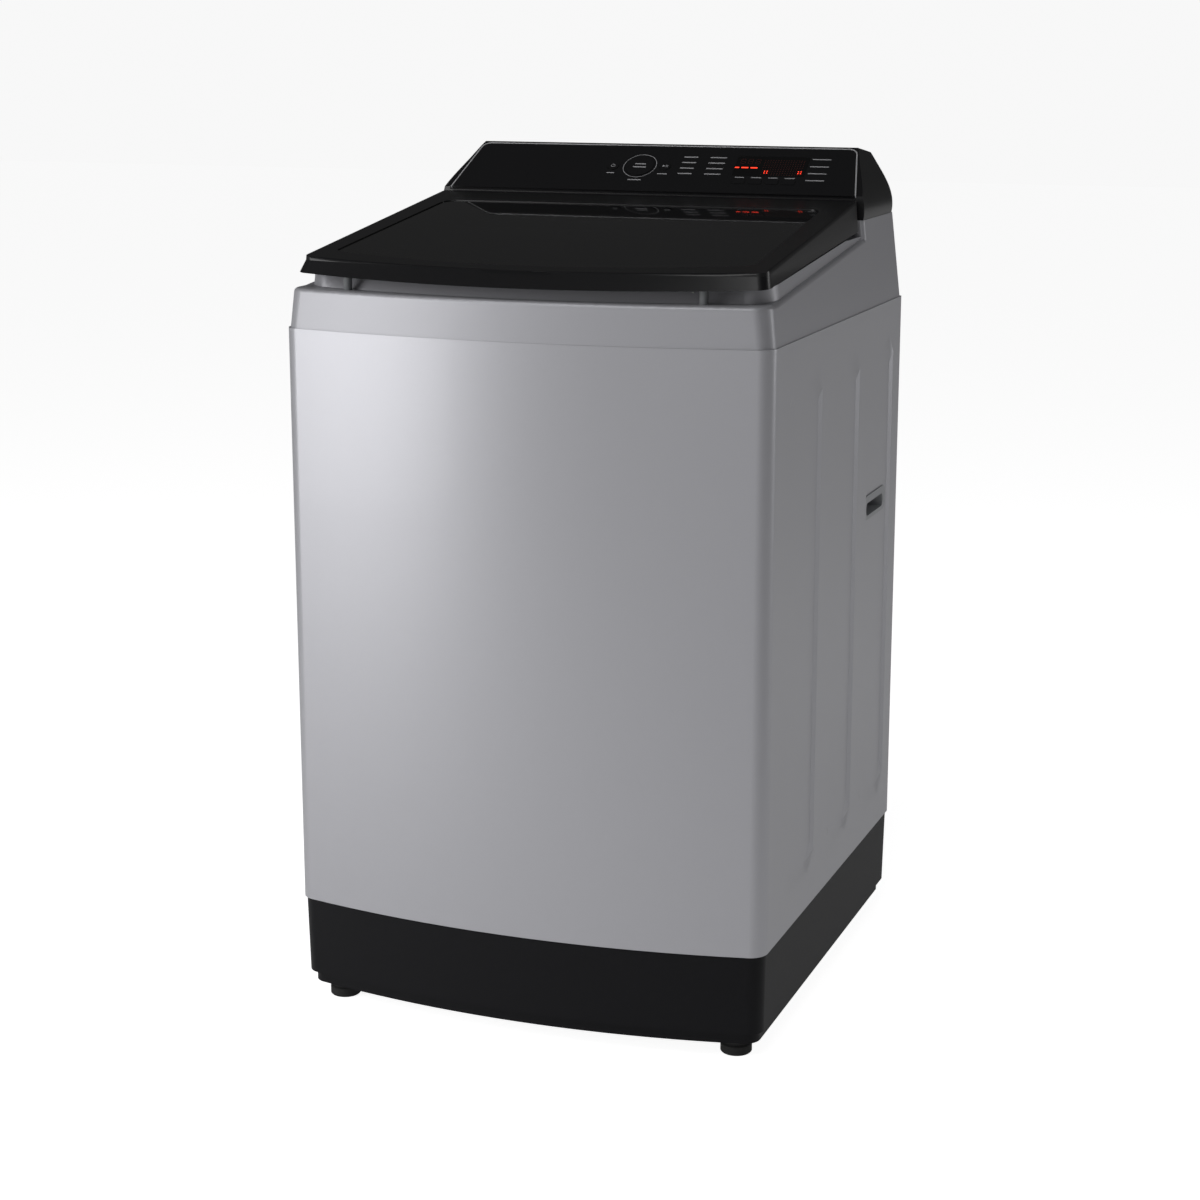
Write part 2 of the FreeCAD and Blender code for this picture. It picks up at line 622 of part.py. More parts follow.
def glass_prism(grow):
    half, y_side, y_mid = GLASS_FRONT
    rear_half, y_rear = GLASS_REAR
    right = [V(half + grow, y_side - grow, 780), V(rear_half + grow, y_rear + grow, 780)]
    left = [V(-p.x, p.y, p.z) for p in right]
    edges = [Part.Arc(left[0], V(0, y_mid - grow, 780), right[0]).toShape(),
             Part.makeLine(right[0], right[1]),
             Part.makeLine(right[1], left[1]),
             Part.makeLine(left[1], left[0])]
    solid = Part.Face(Part.Wire(edges)).extrude(V(0, 0, 140))
    return round_upright(solid, 14.0 + grow)


def lid_envelope():
    """Side profile of the lid with its top rear edge rounded to swing past the housing."""
    outline = [(-300.0, lid_floor_z(-300.0)), (LID_REAR_Y, lid_floor_z(LID_REAR_Y)),
               (LID_REAR_Y, lid_top_z(LID_REAR_Y)), (-300.0, lid_top_z(-300.0))]
    solid = slab(outline, -300, 300)
    edges = [edge for edge in solid.Edges
             if all(abs(v.Point.y - LID_REAR_Y) < 1e-6 and v.Point.z > 870 for v in edge.Vertexes)]
    return solid.makeFillet(5.0, edges)


def lid_frame():
    body = lid_form(0.0).common(lid_envelope())
    room = lid_form(WALL).common(lid_layer(lambda y: 790.0, lambda y: lid_top_z(y) - WALL))
    return body.cut([room, glass_prism(0.0), ear_passage(1), ear_passage(-1)])


def ear_passage(side):
    """Slot in the lid's rear wall that a hinge ear passes through as the lid opens."""
    centre = 227.0 * side
    return box(centre - 6.0, centre + 6.0, HINGE_Y + 2, 140, 800, 877.2)


def lid_glass():
    plate = lid_layer(lambda y: lid_top_z(y) - 1 - GLASS_THICK, lambda y: lid_top_z(y) - 1)
    return glass_prism(0.0).common(plate)


def lid_inner_frame():
    outer = lid_form(WALL).common(lid_layer(lid_floor_z, lambda y: lid_top_z(y) - WALL))
    trough = lid_form(WALL + 2.5).common(lid_layer(lambda y: lid_floor_z(y) + 2.5, lambda y: 900.0))
    seat = glass_prism(0.0).common(lid_layer(lambda y: lid_top_z(y) - 1 - GLASS_THICK, lambda y: 900.0))
    rim = glass_prism(-9.0)
    frame = outer.cut(trough.cut(rim)).cut([seat, glass_prism(-12.0)])
    for side in (-1, 1):
        x0 = min(212 * side, 242 * side)
        slot = box(x0, x0 + 30, HINGE_Y - 22, 128, 800, 900)
        frame = frame.cut([slot, ear_passage(side)])
        for centre in (216.5, 237.5):
            x1 = centre * side - 4.5
            lug = box(x1, x1 + 9, HINGE_Y - 7, HINGE_Y + 7, 840, 890)
            lug = lug.common(lid_form(WALL)).common(
                lid_layer(lambda y: lid_floor_z(y) + 1, lambda y: lid_top_z(y) - WALL))
            tie = box(x1, x1 + 9, HINGE_Y - 24, HINGE_Y - 6, 840, 890).common(
                lid_layer(lid_floor_z, lambda y: lid_floor_z(y) + 6))
            frame = frame.fuse([lug, tie])
        frame = frame.cut(bar_x(HINGE_PIN_R, x0 - 2, x0 + 32, HINGE_Y, HINGE_Z))
    return frame.removeSplitter()


def lid_hinge_pins():
    return both_sides(bar_x(HINGE_PIN_R, 212, 242, HINGE_Y, HINGE_Z))


def lid_strike():
    peg = box(161, 169, -226, -220, 806, 830)
    under = lid_layer(lambda y: 700.0, lid_floor_z)
    plate = box(155, 175, -227, -219, 700, 830)
    return peg.common(under).fuse(plate.common(lid_layer(lambda y: lid_floor_z(y) - 1.0, lid_floor_z)))


# ---------------------------------------------------------------- control housing

def on_fascia(shape):
    """Place a shape drawn flat (x across, y up the slope, z out) on the fascia."""
    placed = shape.copy()
    placed.Placement = FreeCAD.Placement(V(0, HOUSING_Y, FASCIA_FOOT_Z),
                                         FreeCAD.Rotation(V(1, 0, 0), FASCIA_SLOPE))
    return placed


def fascia_outline(inset, z0, z1, low):
    lean = (FASCIA_FOOT_X - FASCIA_HEAD_X) / FASCIA_LENGTH
    head = FASCIA_LENGTH - inset
    foot_x = FASCIA_FOOT_X - inset - lean * low
    head_x = FASCIA_FOOT_X - inset - lean * head
    points = [V(-foot_x, low, z0), V(foot_x, low, z0), V(head_x, head, z0), V(-head_x, head, z0)]
    solid = Part.Face(Part.makePolygon(points + points[:1])).extrude(V(0, 0, z1 - z0))
    tops = []
    for edge in solid.Edges:
        p, q = [vertex.Point for vertex in edge.Vertexes]
        if abs(p.x - q.x) < 1e-6 and abs(p.y - q.y) < 1e-6 and p.y > FASCIA_LENGTH / 2:
            tops.append(edge)
    return solid.makeFillet(12.0 - inset, tops)


def housing_form(inset, drop):
    sections = ((856.5, 257.2, 281.0), (880.0, 256.4, 280.0), (893.0, 251.8, 277.5), (908.0, 244.2, 273.0),
                (920.0, 238.2, 267.0), (931.0, 232.6, 259.0), (938.0, 225.0, 248.0))
    wires = []
    for z, half, y_back in sections:
        front = V(0, HOUSING_Y + inset, 0)
        wide = half - inset
        back = y_back - inset
        r = 14.0 - inset
        bend = r * (1 - math.sqrt(0.5))
        level = z - drop * (z > 930)
        right = [V(wide, front.y, level), V(wide, back - r, level), V(wide - bend, back - bend, level),
                 V(wide - r, back, level)]
        left = [V(-p.x, p.y, p.z) for p in right]
        edges = [Part.makeLine(left[0], right[0]), Part.makeLine(right[0], right[1]),
                 Part.Arc(right[1], right[2], right[3]).toShape(), Part.makeLine(right[3], left[3]),
                 Part.Arc(left[3], left[2], left[1]).toShape(), Part.makeLine(left[1], left[0])]
        wires.append(Part.Wire(edges))
    return Part.makeLoft(wires, True, False)


def above_fascia(depth):
    """Space in front of and above the sloping face, lowered by depth."""
    block = box(-300, 300, -60, FASCIA_LENGTH + 2.0, -depth, 200)
    y0 = HOUSING_Y + FASCIA_LENGTH * math.cos(math.radians(FASCIA_SLOPE))
    z0 = CROWN_Z - depth
    crown = slab([(y0, z0), (320.0, z0 - CROWN_FALL * (320.0 - y0)), (320.0, 990.0), (150.0, 990.0),
                  (150.0, z0 + 30.0)], -300, 300)
    return [on_fascia(block), crown]


def control_housing():
    shell = housing_form(0.0, 0.0).cut(above_fascia(0.0))
    cavity = housing_form(WALL, WALL).cut(above_fascia(FASCIA_THICK + WALL))
    below = box(-300, 300, HOUSING_Y + WALL, 278.0, 840, 858)
    inside = housing_form(WALL, WALL).common(below)
    shell = shell.cut([cavity, inside])
    shell = shell.cut(on_fascia(fascia_outline(0.0, -FASCIA_THICK, 5.0, -20.0)))
    window = on_fascia(box(-85, 205, 10, 74, -20, 1))
    return shell.cut(window)


def control_fascia():
    plate = fascia_outline(TRIM, -FASCIA_THICK, 0.0, 0.4)
    for u, v, r in ROUND_BUTTONS.values():
        plate = plate.cut(Part.makeCylinder(r + BUTTON_GAP, 20, V(u, v, -10)))
    for u in KEY_U:
        plate = plate.cut(key_prism(u, BUTTON_GAP, -10, 10))
    plate = plate.cut(box(DISPLAY[0], DISPLAY[1], DISPLAY[2], DISPLAY[3], -10, 10))
    return on_fascia(plate)


def fascia_trim():
    outer = fascia_outline(0.0, -FASCIA_THICK, 0.3, 0.4)
    inner = fascia_outline(TRIM, -10.0, 10.0, -5.0)
    return on_fascia(outer.cut(inner))


def key_prism(u, grow, z0, z1):
    half_u = KEY_SIZE[0] / 2 + grow
    half_v = KEY_SIZE[1] / 2 + grow
    return rounded_box(u - half_u, u + half_u, KEY_V - half_v, KEY_V + half_v, z0, z1, 2.0 + grow)


def round_button(name):
    u, v, r = ROUND_BUTTONS[name]
    cap = Part.makeCylinder(r, 3.5, V(u, v, -3.0))
    flange = Part.makeCylinder(r + 2, 1.5, V(u, v, -FASCIA_THICK - 1.5))
    stem = Part.makeCylinder(2.5, 5.0, V(u, v, -8.0))
    return on_fascia(fused([cap, flange, stem]))


def option_key(index):
    u = KEY_U[index]
    cap = key_prism(u, 0.0, -3.0, 0.4)
    flange = key_prism(u, 1.2, -FASCIA_THICK - 1.5, -FASCIA_THICK)
    stem = Part.makeCylinder(2.5, 5.0, V(u, KEY_V, -8.0))
    return on_fascia(fused([cap, flange, stem]))


def display_module():
    lens = box(DISPLAY[0], DISPLAY[1], DISPLAY[2], DISPLAY[3], -FASCIA_THICK, -0.1)
    body = box(DISPLAY[0] + 2, DISPLAY[1] - 2, DISPLAY[2] + 2, DISPLAY[3] - 2, -12.0, -FASCIA_THICK)
    return on_fascia(lens.fuse(body))


def control_board():
    top = -FASCIA_THICK - WALL
    tray = box(-90, 210, 5, 79, -14, top)
    tray = tray.cut(box(-86, 206, 9, 75, -12, 0))
    switches = []
    spots = [(u, v) for u, v, r in ROUND_BUTTONS.values()] + [(u, KEY_V) for u in KEY_U]
    for u, v in spots:
        switches.append(Part.makeCylinder(3.0, 3.2, V(u, v, -12.1)))
    heat_sink = box(-80, -30, 20, 60, -26, -13.9)
    return on_fascia(fused([tray, heat_sink] + switches))


# ---------------------------------------------------------------- washing unit

def outer_tub():
    wall = tube(TUB_R, TUB_R - TUB_WALL, TUB_BASE_Z, TUB_TOP_Z, 0, AXIS_Y)
    floor = post(TUB_R - 1, TUB_BASE_Z, TUB_BASE_Z + 4, 0, AXIS_Y)
    pieces = [wall, floor]
    for turn in range(8):
        rib = box(40, TUB_R - 4, -3, 3, PLATE_Z[1], TUB_BASE_Z + 1)
        rib.translate(V(0, AXIS_Y, 0))
        rib.rotate(V(0, AXIS_Y, 0), V(0, 0, 1), 45 * turn)
        pieces.append(rib)
    for z in (300.0, 420.0, 540.0, 660.0):
        pieces.append(tube(TUB_R + 4, TUB_R - 1, z, z + 5, 0, AXIS_Y))
    reach = math.hypot(ROD_X, ROD_REAR_Y - AXIS_Y)
    for turn in range(4):
        ear = box(TUB_R - 2, reach + 24, -24, 24, EAR_Z[0], EAR_Z[1])
        web = Part.Face(Part.makePolygon([V(TUB_R - 2, 0, EAR_Z[1]), V(reach - 14, 0, EAR_Z[1]),
                                          V(TUB_R - 2, 0, EAR_Z[1] + 70),
                                          V(TUB_R - 2, 0, EAR_Z[1])])).extrude(V(0, 5, 0))
        for piece in (ear, web):
            piece.translate(V(0, AXIS_Y, 0))
            piece.rotate(V(0, AXIS_Y, 0), V(0, 0, 1), 45 + 90 * turn)
            pieces.append(piece)
    trap = box(SENSOR_X - 10, SENSOR_X + 10, AXIS_Y + 190, SENSOR_Y + 9, 232, 256)
    nipple = post(2.3, 250, 300, SENSOR_X, SENSOR_Y)
    tub = fused(pieces + [trap, nipple])
    tub = tub.cut(post(TUB_R - TUB_WALL, TUB_BASE_Z + 4, 300, 0, AXIS_Y))
    tub = tub.cut(post(28.5, 200, 240, 0, AXIS_Y))
    tub = tub.cut(post(SPIGOT_R, 200, 240, DRAIN_X, DRAIN_Y))
    for x, y in rod_places():
        tub = tub.cut(post(ROD_R + 6, EAR_Z[0] - 1, EAR_Z[1] + 1, x, y))
    return tub


def tub_cover():
    profile = [(212, 732), (TUB_R, 732), (TUB_R, TUB_TOP_Z), (TUB_R + 0.05, TUB_TOP_Z),
               (TUB_R + 0.05, 712), (TUB_R + 3, 712), (TUB_R + 3, 738), (214, 742), (208, 742), (208, 728),
               (212, 728)]
    ledge = tube(TUB_R, 236, TUB_TOP_Z, 733, 0, AXIS_Y)
    return turned(profile, 0, AXIS_Y).fuse(ledge).removeSplitter()


def damper_cups():
    cups = []
    for x, y in rod_places():
        cup = post(22, 300, EAR_Z[0], x, y).cut(post(19.5, 299, EAR_Z[0] - 3, x, y))
        cups.append(cup.cut(post(ROD_R + 2, 290, 340, x, y)))
    return Part.makeCompound(cups)


def support_plate():
    plate = rounded_box(-80, 80, -78, 236, PLATE_Z[0], PLATE_Z[1], 18)
    for x in (-80.0, 76.0):
        plate = plate.fuse(box(x, x + 4, -58, 216, PLATE_Z[0] - 8, PLATE_Z[0] + 1))
    plate = plate.cut(post(28.5, 200, 220, 0, AXIS_Y))
    return plate.removeSplitter()


def clutch_housing():
    profile = [(SPIN_TUBE_R + RUN, 145), (40, 145), (48, 152), (48, 200), (62, 200), (62, PLATE_Z[0]),
               (28, PLATE_Z[0]), (28, 231), (SPIN_TUBE_R + RUN, 231)]
    lever = box(44, 72, -6, 6, 176, 182)
    lever.translate(V(0, AXIS_Y, 0))
    return turned(profile, 0, AXIS_Y).fuse(lever)


def motor_body():
    can = turned([(0, 125), (MOTOR_R - 8, 125), (MOTOR_R, 131), (MOTOR_R, 192), (MOTOR_R - 8, 198),
                  (0, 198)], 0, MOTOR_Y)
    flange = rounded_box(-66, 66, MOTOR_Y - 52, MOTOR_Y + 52, 200, PLATE_Z[0], 14)
    posts = [post(8, 190, 201, sx * 38, MOTOR_Y + sy * 34) for sx in (-1, 1) for sy in (-1, 1)]
    neck = post(14, 118, 126, 0, MOTOR_Y)
    motor = fused([can, flange, neck] + posts)
    return motor.cut(post(MOTOR_SHAFT_R + RUN, 110, 171, 0, MOTOR_Y))


def pulley_profile(groove, bore):
    flange = groove + BELT_THICK - 1
    return [(bore, PULLEY_Z[0]), (flange, PULLEY_Z[0]), (flange, BELT_Z[0] - 0.5), (groove, BELT_Z[0] - 0.3),
            (groove, BELT_Z[1] + 0.3), (flange, BELT_Z[1] + 0.5), (flange, PULLEY_Z[1]), (bore, PULLEY_Z[1])]


def driven_pulley():
    rim = turned(pulley_profile(DRIVEN_GROOVE_R, SHAFT_R + 0.02), 0, AXIS_Y)
    for turn in range(6):
        angle = math.radians(60 * turn)
        rim = rim.cut(post(11, 90, 120, 36 * math.cos(angle), AXIS_Y + 36 * math.sin(angle)))
    return rim.fuse(tube(18, SHAFT_R + 0.02, 94, 124, 0, AXIS_Y))


def motor_pulley():
    wheel = turned(pulley_profile(MOTOR_GROOVE_R, 0.0), 0, MOTOR_Y)
    return wheel.fuse(post(MOTOR_SHAFT_R, 90, 168, 0, MOTOR_Y))


def belt_loop(offset, z0, z1):
    big = DRIVEN_GROOVE_R + offset
    small = MOTOR_GROOVE_R + offset
    tilt = math.asin((big - small) / (MOTOR_Y - AXIS_Y))
    cos_t = math.cos(tilt)
    sin_t = math.sin(tilt)
    a = V(big * cos_t, AXIS_Y + big * sin_t, z0)
    b = V(small * cos_t, MOTOR_Y + small * sin_t, z0)
    c = V(-b.x, b.y, z0)
    d = V(-a.x, a.y, z0)
    edges = [Part.makeLine(a, b), Part.Arc(b, V(0, MOTOR_Y + small, z0), c).toShape(),
             Part.makeLine(c, d), Part.Arc(d, V(0, AXIS_Y - big, z0), a).toShape()]
    return Part.Face(Part.Wire(edges)).extrude(V(0, 0, z1 - z0))


def drive_belt():
    outer = belt_loop(BELT_GAP + BELT_THICK, BELT_Z[0], BELT_Z[1])
    return outer.cut(belt_loop(BELT_GAP, BELT_Z[0] - 1, BELT_Z[1] + 1))


def drain_valve():
    body = post(24, 190, TUB_BASE_Z, DRAIN_X, DRAIN_Y)
    neck = post(SPIGOT_R - 0.05, TUB_BASE_Z - 1, TUB_BASE_Z + 4, DRAIN_X, DRAIN_Y)
    spigot = post(SPIGOT_R, 138, 191, DRAIN_X, DRAIN_Y)
    actuator = Part.makeCylinder(11, 44, V(DRAIN_X, DRAIN_Y - 20, 201), V(0, -1, 0))
    valve = fused([body, neck, spigot, actuator])
    return valve.cut(post(SPIGOT_BORE_R, 130, 240, DRAIN_X, DRAIN_Y))


def drain_hose():
    start = V(DRAIN_X, DRAIN_Y, HOSE_TOP_Z)
    bend_top = V(DRAIN_X, DRAIN_Y, DRAIN_Z + DRAIN_BEND_R)
    knee = DRAIN_BEND_R * (1 - math.sqrt(0.5))
    middle = V(DRAIN_X, DRAIN_Y + knee, DRAIN_Z + knee)
    bend_end = V(DRAIN_X, DRAIN_Y + DRAIN_BEND_R, DRAIN_Z)
    end = V(DRAIN_X, 252, DRAIN_Z)
    path = Part.Wire([Part.makeLine(start, bend_top), Part.Arc(bend_top, middle, bend_end).toShape(),
                      Part.makeLine(bend_end, end)])
    pipes = []
    for radius in (HOSE_R, SPIGOT_R + HOSE_GAP):
        ring = Part.Wire([Part.makeCircle(radius, start, V(0, 0, -1))])
        pipes.append(path.makePipeShell([ring], True, False))
    return pipes[0].cut(pipes[1])


def drain_outlet():
    spigot = bar_y(SPIGOT_R, 238, 283.5, DRAIN_X, DRAIN_Z)
    flange = bar_y(18.5, BACK_Y - 24, BACK_Y - 21, DRAIN_X, DRAIN_Z)
    return spigot.fuse(flange).cut(bar_y(SPIGOT_BORE_R, 230, 290, DRAIN_X, DRAIN_Z))


def suspension_rods():
    rods = []
    for x, y in rod_places():
        rods.append(turned([(0, ROD_BASE_Z), (20, ROD_BASE_Z), (20, ROD_BASE_Z + 4), (ROD_R, ROD_BASE_Z + 4),
                            (ROD_R, 752), (8, 752), (8, 755), (6, 757), (0, 757)], x, y))
    return Part.makeCompound(rods)


def rod_hangers():
    seats = []
    for x, y in rod_places():
        seats.append(turned([(ROD_R + 0.05, 738), (7, 738), (8.5, BRACKET_Z[1]), (14, BRACKET_Z[1]),
                             (12, 751), (9, 752), (ROD_R + 0.05, 752)], x, y))
    return Part.makeCompound(seats)


def suspension_springs():
    low = ROD_BASE_Z + 4 + SPRING_WIRE_R
    high = EAR_Z[0] - 3 - SPRING_WIRE_R
    pitch = (high - low) / SPRING_TURNS
    path = Part.makeHelix(pitch, high - low, SPRING_R)
    ring = Part.Wire([Part.makeCircle(SPRING_WIRE_R, V(SPRING_R, 0, 0), V(0, 1, 0))])
    coil = Part.Wire(path).makePipeShell([ring], True, True)
    springs = []
    for x, y in rod_places():
        spring = coil.copy()
        spring.translate(V(x, y, low))
        springs.append(spring)
    return Part.makeCompound(springs)


def basket():
    wall = tube(BASKET_R, BASKET_R - SHEET, BASKET_BASE_Z, BASKET_TOP_Z, 0, AXIS_Y)
    floor = post(BASKET_R - 0.5, BASKET_BASE_Z, BASKET_BASE_Z + SHEET, 0, AXIS_Y)
    shell = wall.fuse(floor)
    for z in (330.0, 600.0):
        bead = tube(BASKET_R + 2.5, BASKET_R - SHEET, z, z + 6, 0, AXIS_Y)
        groove = tube(BASKET_R + 2.5 - SHEET, BASKET_R - SHEET - 1, z + SHEET, z + 6 - SHEET, 0, AXIS_Y)
        shell = shell.fuse(bead).cut(groove)
    return shell.cut(post(25, 250, 270, 0, AXIS_Y)).removeSplitter()


def balance_ring():
    profile = [(RING_IN_R + 3, BASKET_TOP_Z), (RING_OUT_R, BASKET_TOP_Z), (RING_OUT_R, RING_TOP_Z - 6),
               (RING_OUT_R - 6, RING_TOP_Z), (RING_IN_R + 9, RING_TOP_Z), (RING_IN_R, RING_TOP_Z - 9),
               (RING_IN_R, BASKET_TOP_Z + 4)]
    room = [(RING_IN_R + 3, BASKET_TOP_Z + 6), (RING_OUT_R - 3, BASKET_TOP_Z + 6),
            (RING_OUT_R - 3, RING_TOP_Z - 8), (RING_OUT_R - 7, RING_TOP_Z - 3),
            (RING_IN_R + 10, RING_TOP_Z - 3), (RING_IN_R + 3, RING_TOP_Z - 10)]
    return turned(profile, 0, AXIS_Y).cut(turned(room, 0, AXIS_Y))


def basket_hub():
    profile = [(SHAFT_R + RUN, 130), (SPIN_TUBE_R, 130), (SPIN_TUBE_R, 236), (32, 236), (32, 252),
               (60, 256), (105, 258), (105, BASKET_BASE_Z), (SHAFT_R + RUN, BASKET_BASE_Z)]
    return turned(profile, 0, AXIS_Y)


def lint_filters():
    sleeve = tube(BASKET_R - SHEET, BASKET_R - SHEET - 16, 470, 640, 0, AXIS_Y)
    side = sleeve.common(box(150, 240, AXIS_Y - 42, AXIS_Y + 42, 470, 640))
    room = tube(BASKET_R - SHEET - 2.5, BASKET_R - SHEET - 13.5, 474, 636, 0, AXIS_Y)
    side = side.cut(room.common(box(150, 240, AXIS_Y - 39, AXIS_Y + 39, 474, 636)))
    side = side.cut(box(190, 214, AXIS_Y - 28, AXIS_Y + 28, 600, 630))
    return both_sides(side)


def pulsator():
    dish = turned([(PULSATOR_R - 4, 266), (PULSATOR_R, 268), (PULSATOR_R, 272), (PULSATOR_R - 3, 274),
                   (118, 276), (70, 284), (34, 295), (14, 298), (0, 298), (0, 286), (SHAFT_R + 0.02, 286),
                   (SHAFT_R + 0.02, 266.5), (22, 266.5), (22, 285), (34, 290), (70, 280), (118, 272),
                   (PULSATOR_R - 5, 269.5), (PULSATOR_R - 5, 266)], 0, AXIS_Y)
    pieces = [dish]
    for turn in range(6):
        fin = Part.Face(Part.makePolygon([V(30, 0, 292), V(52, 0, 305), (V(96, 0, 303)), V(136, 0, 284),
                                          V(142, 0, 272), V(118, 0, 272.5), V(70, 0, 281),
                                          V(30, 0, 292)])).extrude(V(0, 9, 0))
        fin.translate(V(0, AXIS_Y - 4.5, 0))
        fin.rotate(V(0, AXIS_Y, 0), V(0, 0, 1), 60 * turn)
        pieces.append(fin)
    return fused(pieces)


def drive_shaft():
    return post(SHAFT_R, 88, 286, 0, AXIS_Y).fuse(post(13, 88, 94, 0, AXIS_Y))


def build():
    os.makedirs("parts", exist_ok=True)
    right_grip = grip()
    shapes = {
        "cabinet": cabinet(),
        "back_panel": back_panel(),
        "back_panel_screws": back_panel_screws(),
        "power_cord_gland": power_cord_gland(),
        "base_frame": base_frame(),
        "bottom_guard": bottom_guard(),
        "handle_right": right_grip,
        "handle_left": mirrored(right_grip),
        "foot_locknuts": foot_locknuts(),
        "top_cover": top_cover(),
        "lid_lock": lid_lock(),
        "lid_bumpers": lid_bumpers(),
        "dispenser_box": dispenser_box(),
        "detergent_drawer": detergent_drawer(),
        "drawer_siphon": drawer_siphon(),
        "inlet_valve": inlet_valve(),
        "level_sensor": level_sensor(),
        "pressure_hose": pressure_hose(),
        "lid_frame": lid_frame(),
        "lid_glass": lid_glass(),
        "lid_inner_frame": lid_inner_frame(),
        "lid_hinge_pins": lid_hinge_pins(),
        "lid_strike": lid_strike(),
        "control_housing": control_housing(),
        "control_fascia": control_fascia(),
        "fascia_trim": fascia_trim(),
        "display_module": display_module(),
        "control_board": control_board(),
        "outer_tub": outer_tub(),
        "tub_cover": tub_cover(),
        "damper_cups": damper_cups(),
        "support_plate": support_plate(),
        "clutch_housing": clutch_housing(),
        "motor_body": motor_body(),
        "drive_belt": drive_belt(),
        "drain_valve": drain_valve(),
        "drain_hose": drain_hose(),
        "drain_outlet": drain_outlet(),
        "suspension_rods": suspension_rods(),
        "rod_hangers": rod_hangers(),
        "suspension_springs": suspension_springs(),
        "basket": basket(),
        "balance_ring": balance_ring(),
        "basket_hub": basket_hub(),
        "lint_filters": lint_filters(),
        "pulsator": pulsator(),
        "drive_shaft": drive_shaft(),
        "driven_pulley": driven_pulley(),
        "motor_pulley": motor_pulley(),
    }
    for place, (x, y) in foot_places().items():
        shapes["foot_" + place] = foot(x, y)
    for name in ROUND_BUTTONS:
        shapes[name] = round_button(name)
    for index, name in enumerate(KEY_NAMES):
        shapes[name] = option_key(index)
    for name, shape in shapes.items():
        shape.exportStep("parts/" + name + ".step")


build()
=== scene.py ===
import json
import math

import bmesh
import bpy
from mathutils import Matrix, Vector


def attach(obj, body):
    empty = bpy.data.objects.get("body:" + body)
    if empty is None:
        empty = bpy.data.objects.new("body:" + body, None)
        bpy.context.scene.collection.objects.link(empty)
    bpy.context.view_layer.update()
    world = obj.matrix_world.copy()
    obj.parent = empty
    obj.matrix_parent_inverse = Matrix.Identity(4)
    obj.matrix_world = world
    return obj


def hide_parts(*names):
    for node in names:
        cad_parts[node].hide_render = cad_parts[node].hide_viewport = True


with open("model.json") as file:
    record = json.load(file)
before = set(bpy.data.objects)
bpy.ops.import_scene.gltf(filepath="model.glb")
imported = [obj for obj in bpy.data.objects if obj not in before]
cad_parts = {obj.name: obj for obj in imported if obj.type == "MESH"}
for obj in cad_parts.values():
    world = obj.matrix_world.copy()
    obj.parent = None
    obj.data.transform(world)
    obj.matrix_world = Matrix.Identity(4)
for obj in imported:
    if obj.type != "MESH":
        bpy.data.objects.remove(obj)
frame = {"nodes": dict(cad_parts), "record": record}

bl_info = {
    "name": "Top load washing machine",
    "version": (1, 0, 0),
    "blender": (4, 5, 0),
    "location": "3D View > Sidebar > Washing machine",
    "description": "Finished surfaces, prints and studio for a top load washing machine",
    "category": "Object",
}

RECORD = frame["record"]
BODY_OF = {node: body for body, nodes in RECORD["behaviour"]["bodies"].items() for node in nodes}
SLOT_OF = {part["node"]: part["material_slot"] for part in RECORD["subparts"]}
MM = 0.001
FASCIA = Matrix.Translation((0, 138.5 * MM, 883.0 * MM)) @ Matrix.Rotation(math.radians(36.2), 4, "X")
AXIS = Vector((0, 5.0 * MM, 0))


def linear(code):
    """Linear red, green and blue of an sRGB hex code."""
    channels = [int(code[i:i + 2], 16) / 255 for i in (0, 2, 4)]
    return tuple(c / 12.92 if c <= 0.04045 else ((c + 0.055) / 1.055) ** 2.4 for c in channels)


# ---------------------------------------------------------------- settings

class WASHER_PG_sizes(bpy.types.PropertyGroup):
    """Sizes of the finished details."""

    edge: bpy.props.FloatProperty(
        name="Moulded edge", description="Rounding on the edges of moulded plastic pieces",
        default=0.0007, unit="LENGTH")
    sheet_edge: bpy.props.FloatProperty(
        name="Sheet edge", description="Rounding on the folded edges of painted steel",
        default=0.0008, unit="LENGTH")
    print_height: bpy.props.FloatProperty(
        name="Print height", description="Thickness of the printed legends on the fascia",
        default=0.00006, unit="LENGTH")
    lip: bpy.props.FloatProperty(
        name="Lid lip", description="Rounding along the top edge of the lid frame",
        default=0.0042, unit="LENGTH")
    cove: bpy.props.FloatProperty(
        name="Cove", description="How far the top of the cover's riser leans back under the lid",
        default=0.009, unit="LENGTH")
    hole_pitch: bpy.props.FloatProperty(
        name="Hole pitch", description="Distance between the rows of holes in the basket",
        default=0.0195, unit="LENGTH")
    hole: bpy.props.FloatProperty(
        name="Hole size", description="Width of one hole in the basket", default=0.0042, unit="LENGTH")


class WASHER_PG_colours(bpy.types.PropertyGroup):
    """Colours of the main finishes."""

    body: bpy.props.FloatVectorProperty(
        name="Cabinet", description="Silver enamel of the cabinet", subtype="COLOR", size=3,
        default=linear("B6B6BB"))
    cover: bpy.props.FloatVectorProperty(
        name="Top cover", description="Silver moulded plastic", subtype="COLOR", size=3,
        default=linear("AEAEB3"))
    skirt: bpy.props.FloatVectorProperty(
        name="Skirt and lid", description="Charcoal moulded plastic", subtype="COLOR", size=3,
        default=linear("121215"))
    glass: bpy.props.FloatVectorProperty(
        name="Lid glass", description="Smoked tempered glass", subtype="COLOR", size=3,
        default=linear("3C3C3F"))
    display: bpy.props.FloatVectorProperty(
        name="Display light", description="Red of the lit segments", subtype="COLOR", size=3,
        default=linear("FF2A1C"))


# ---------------------------------------------------------------- materials

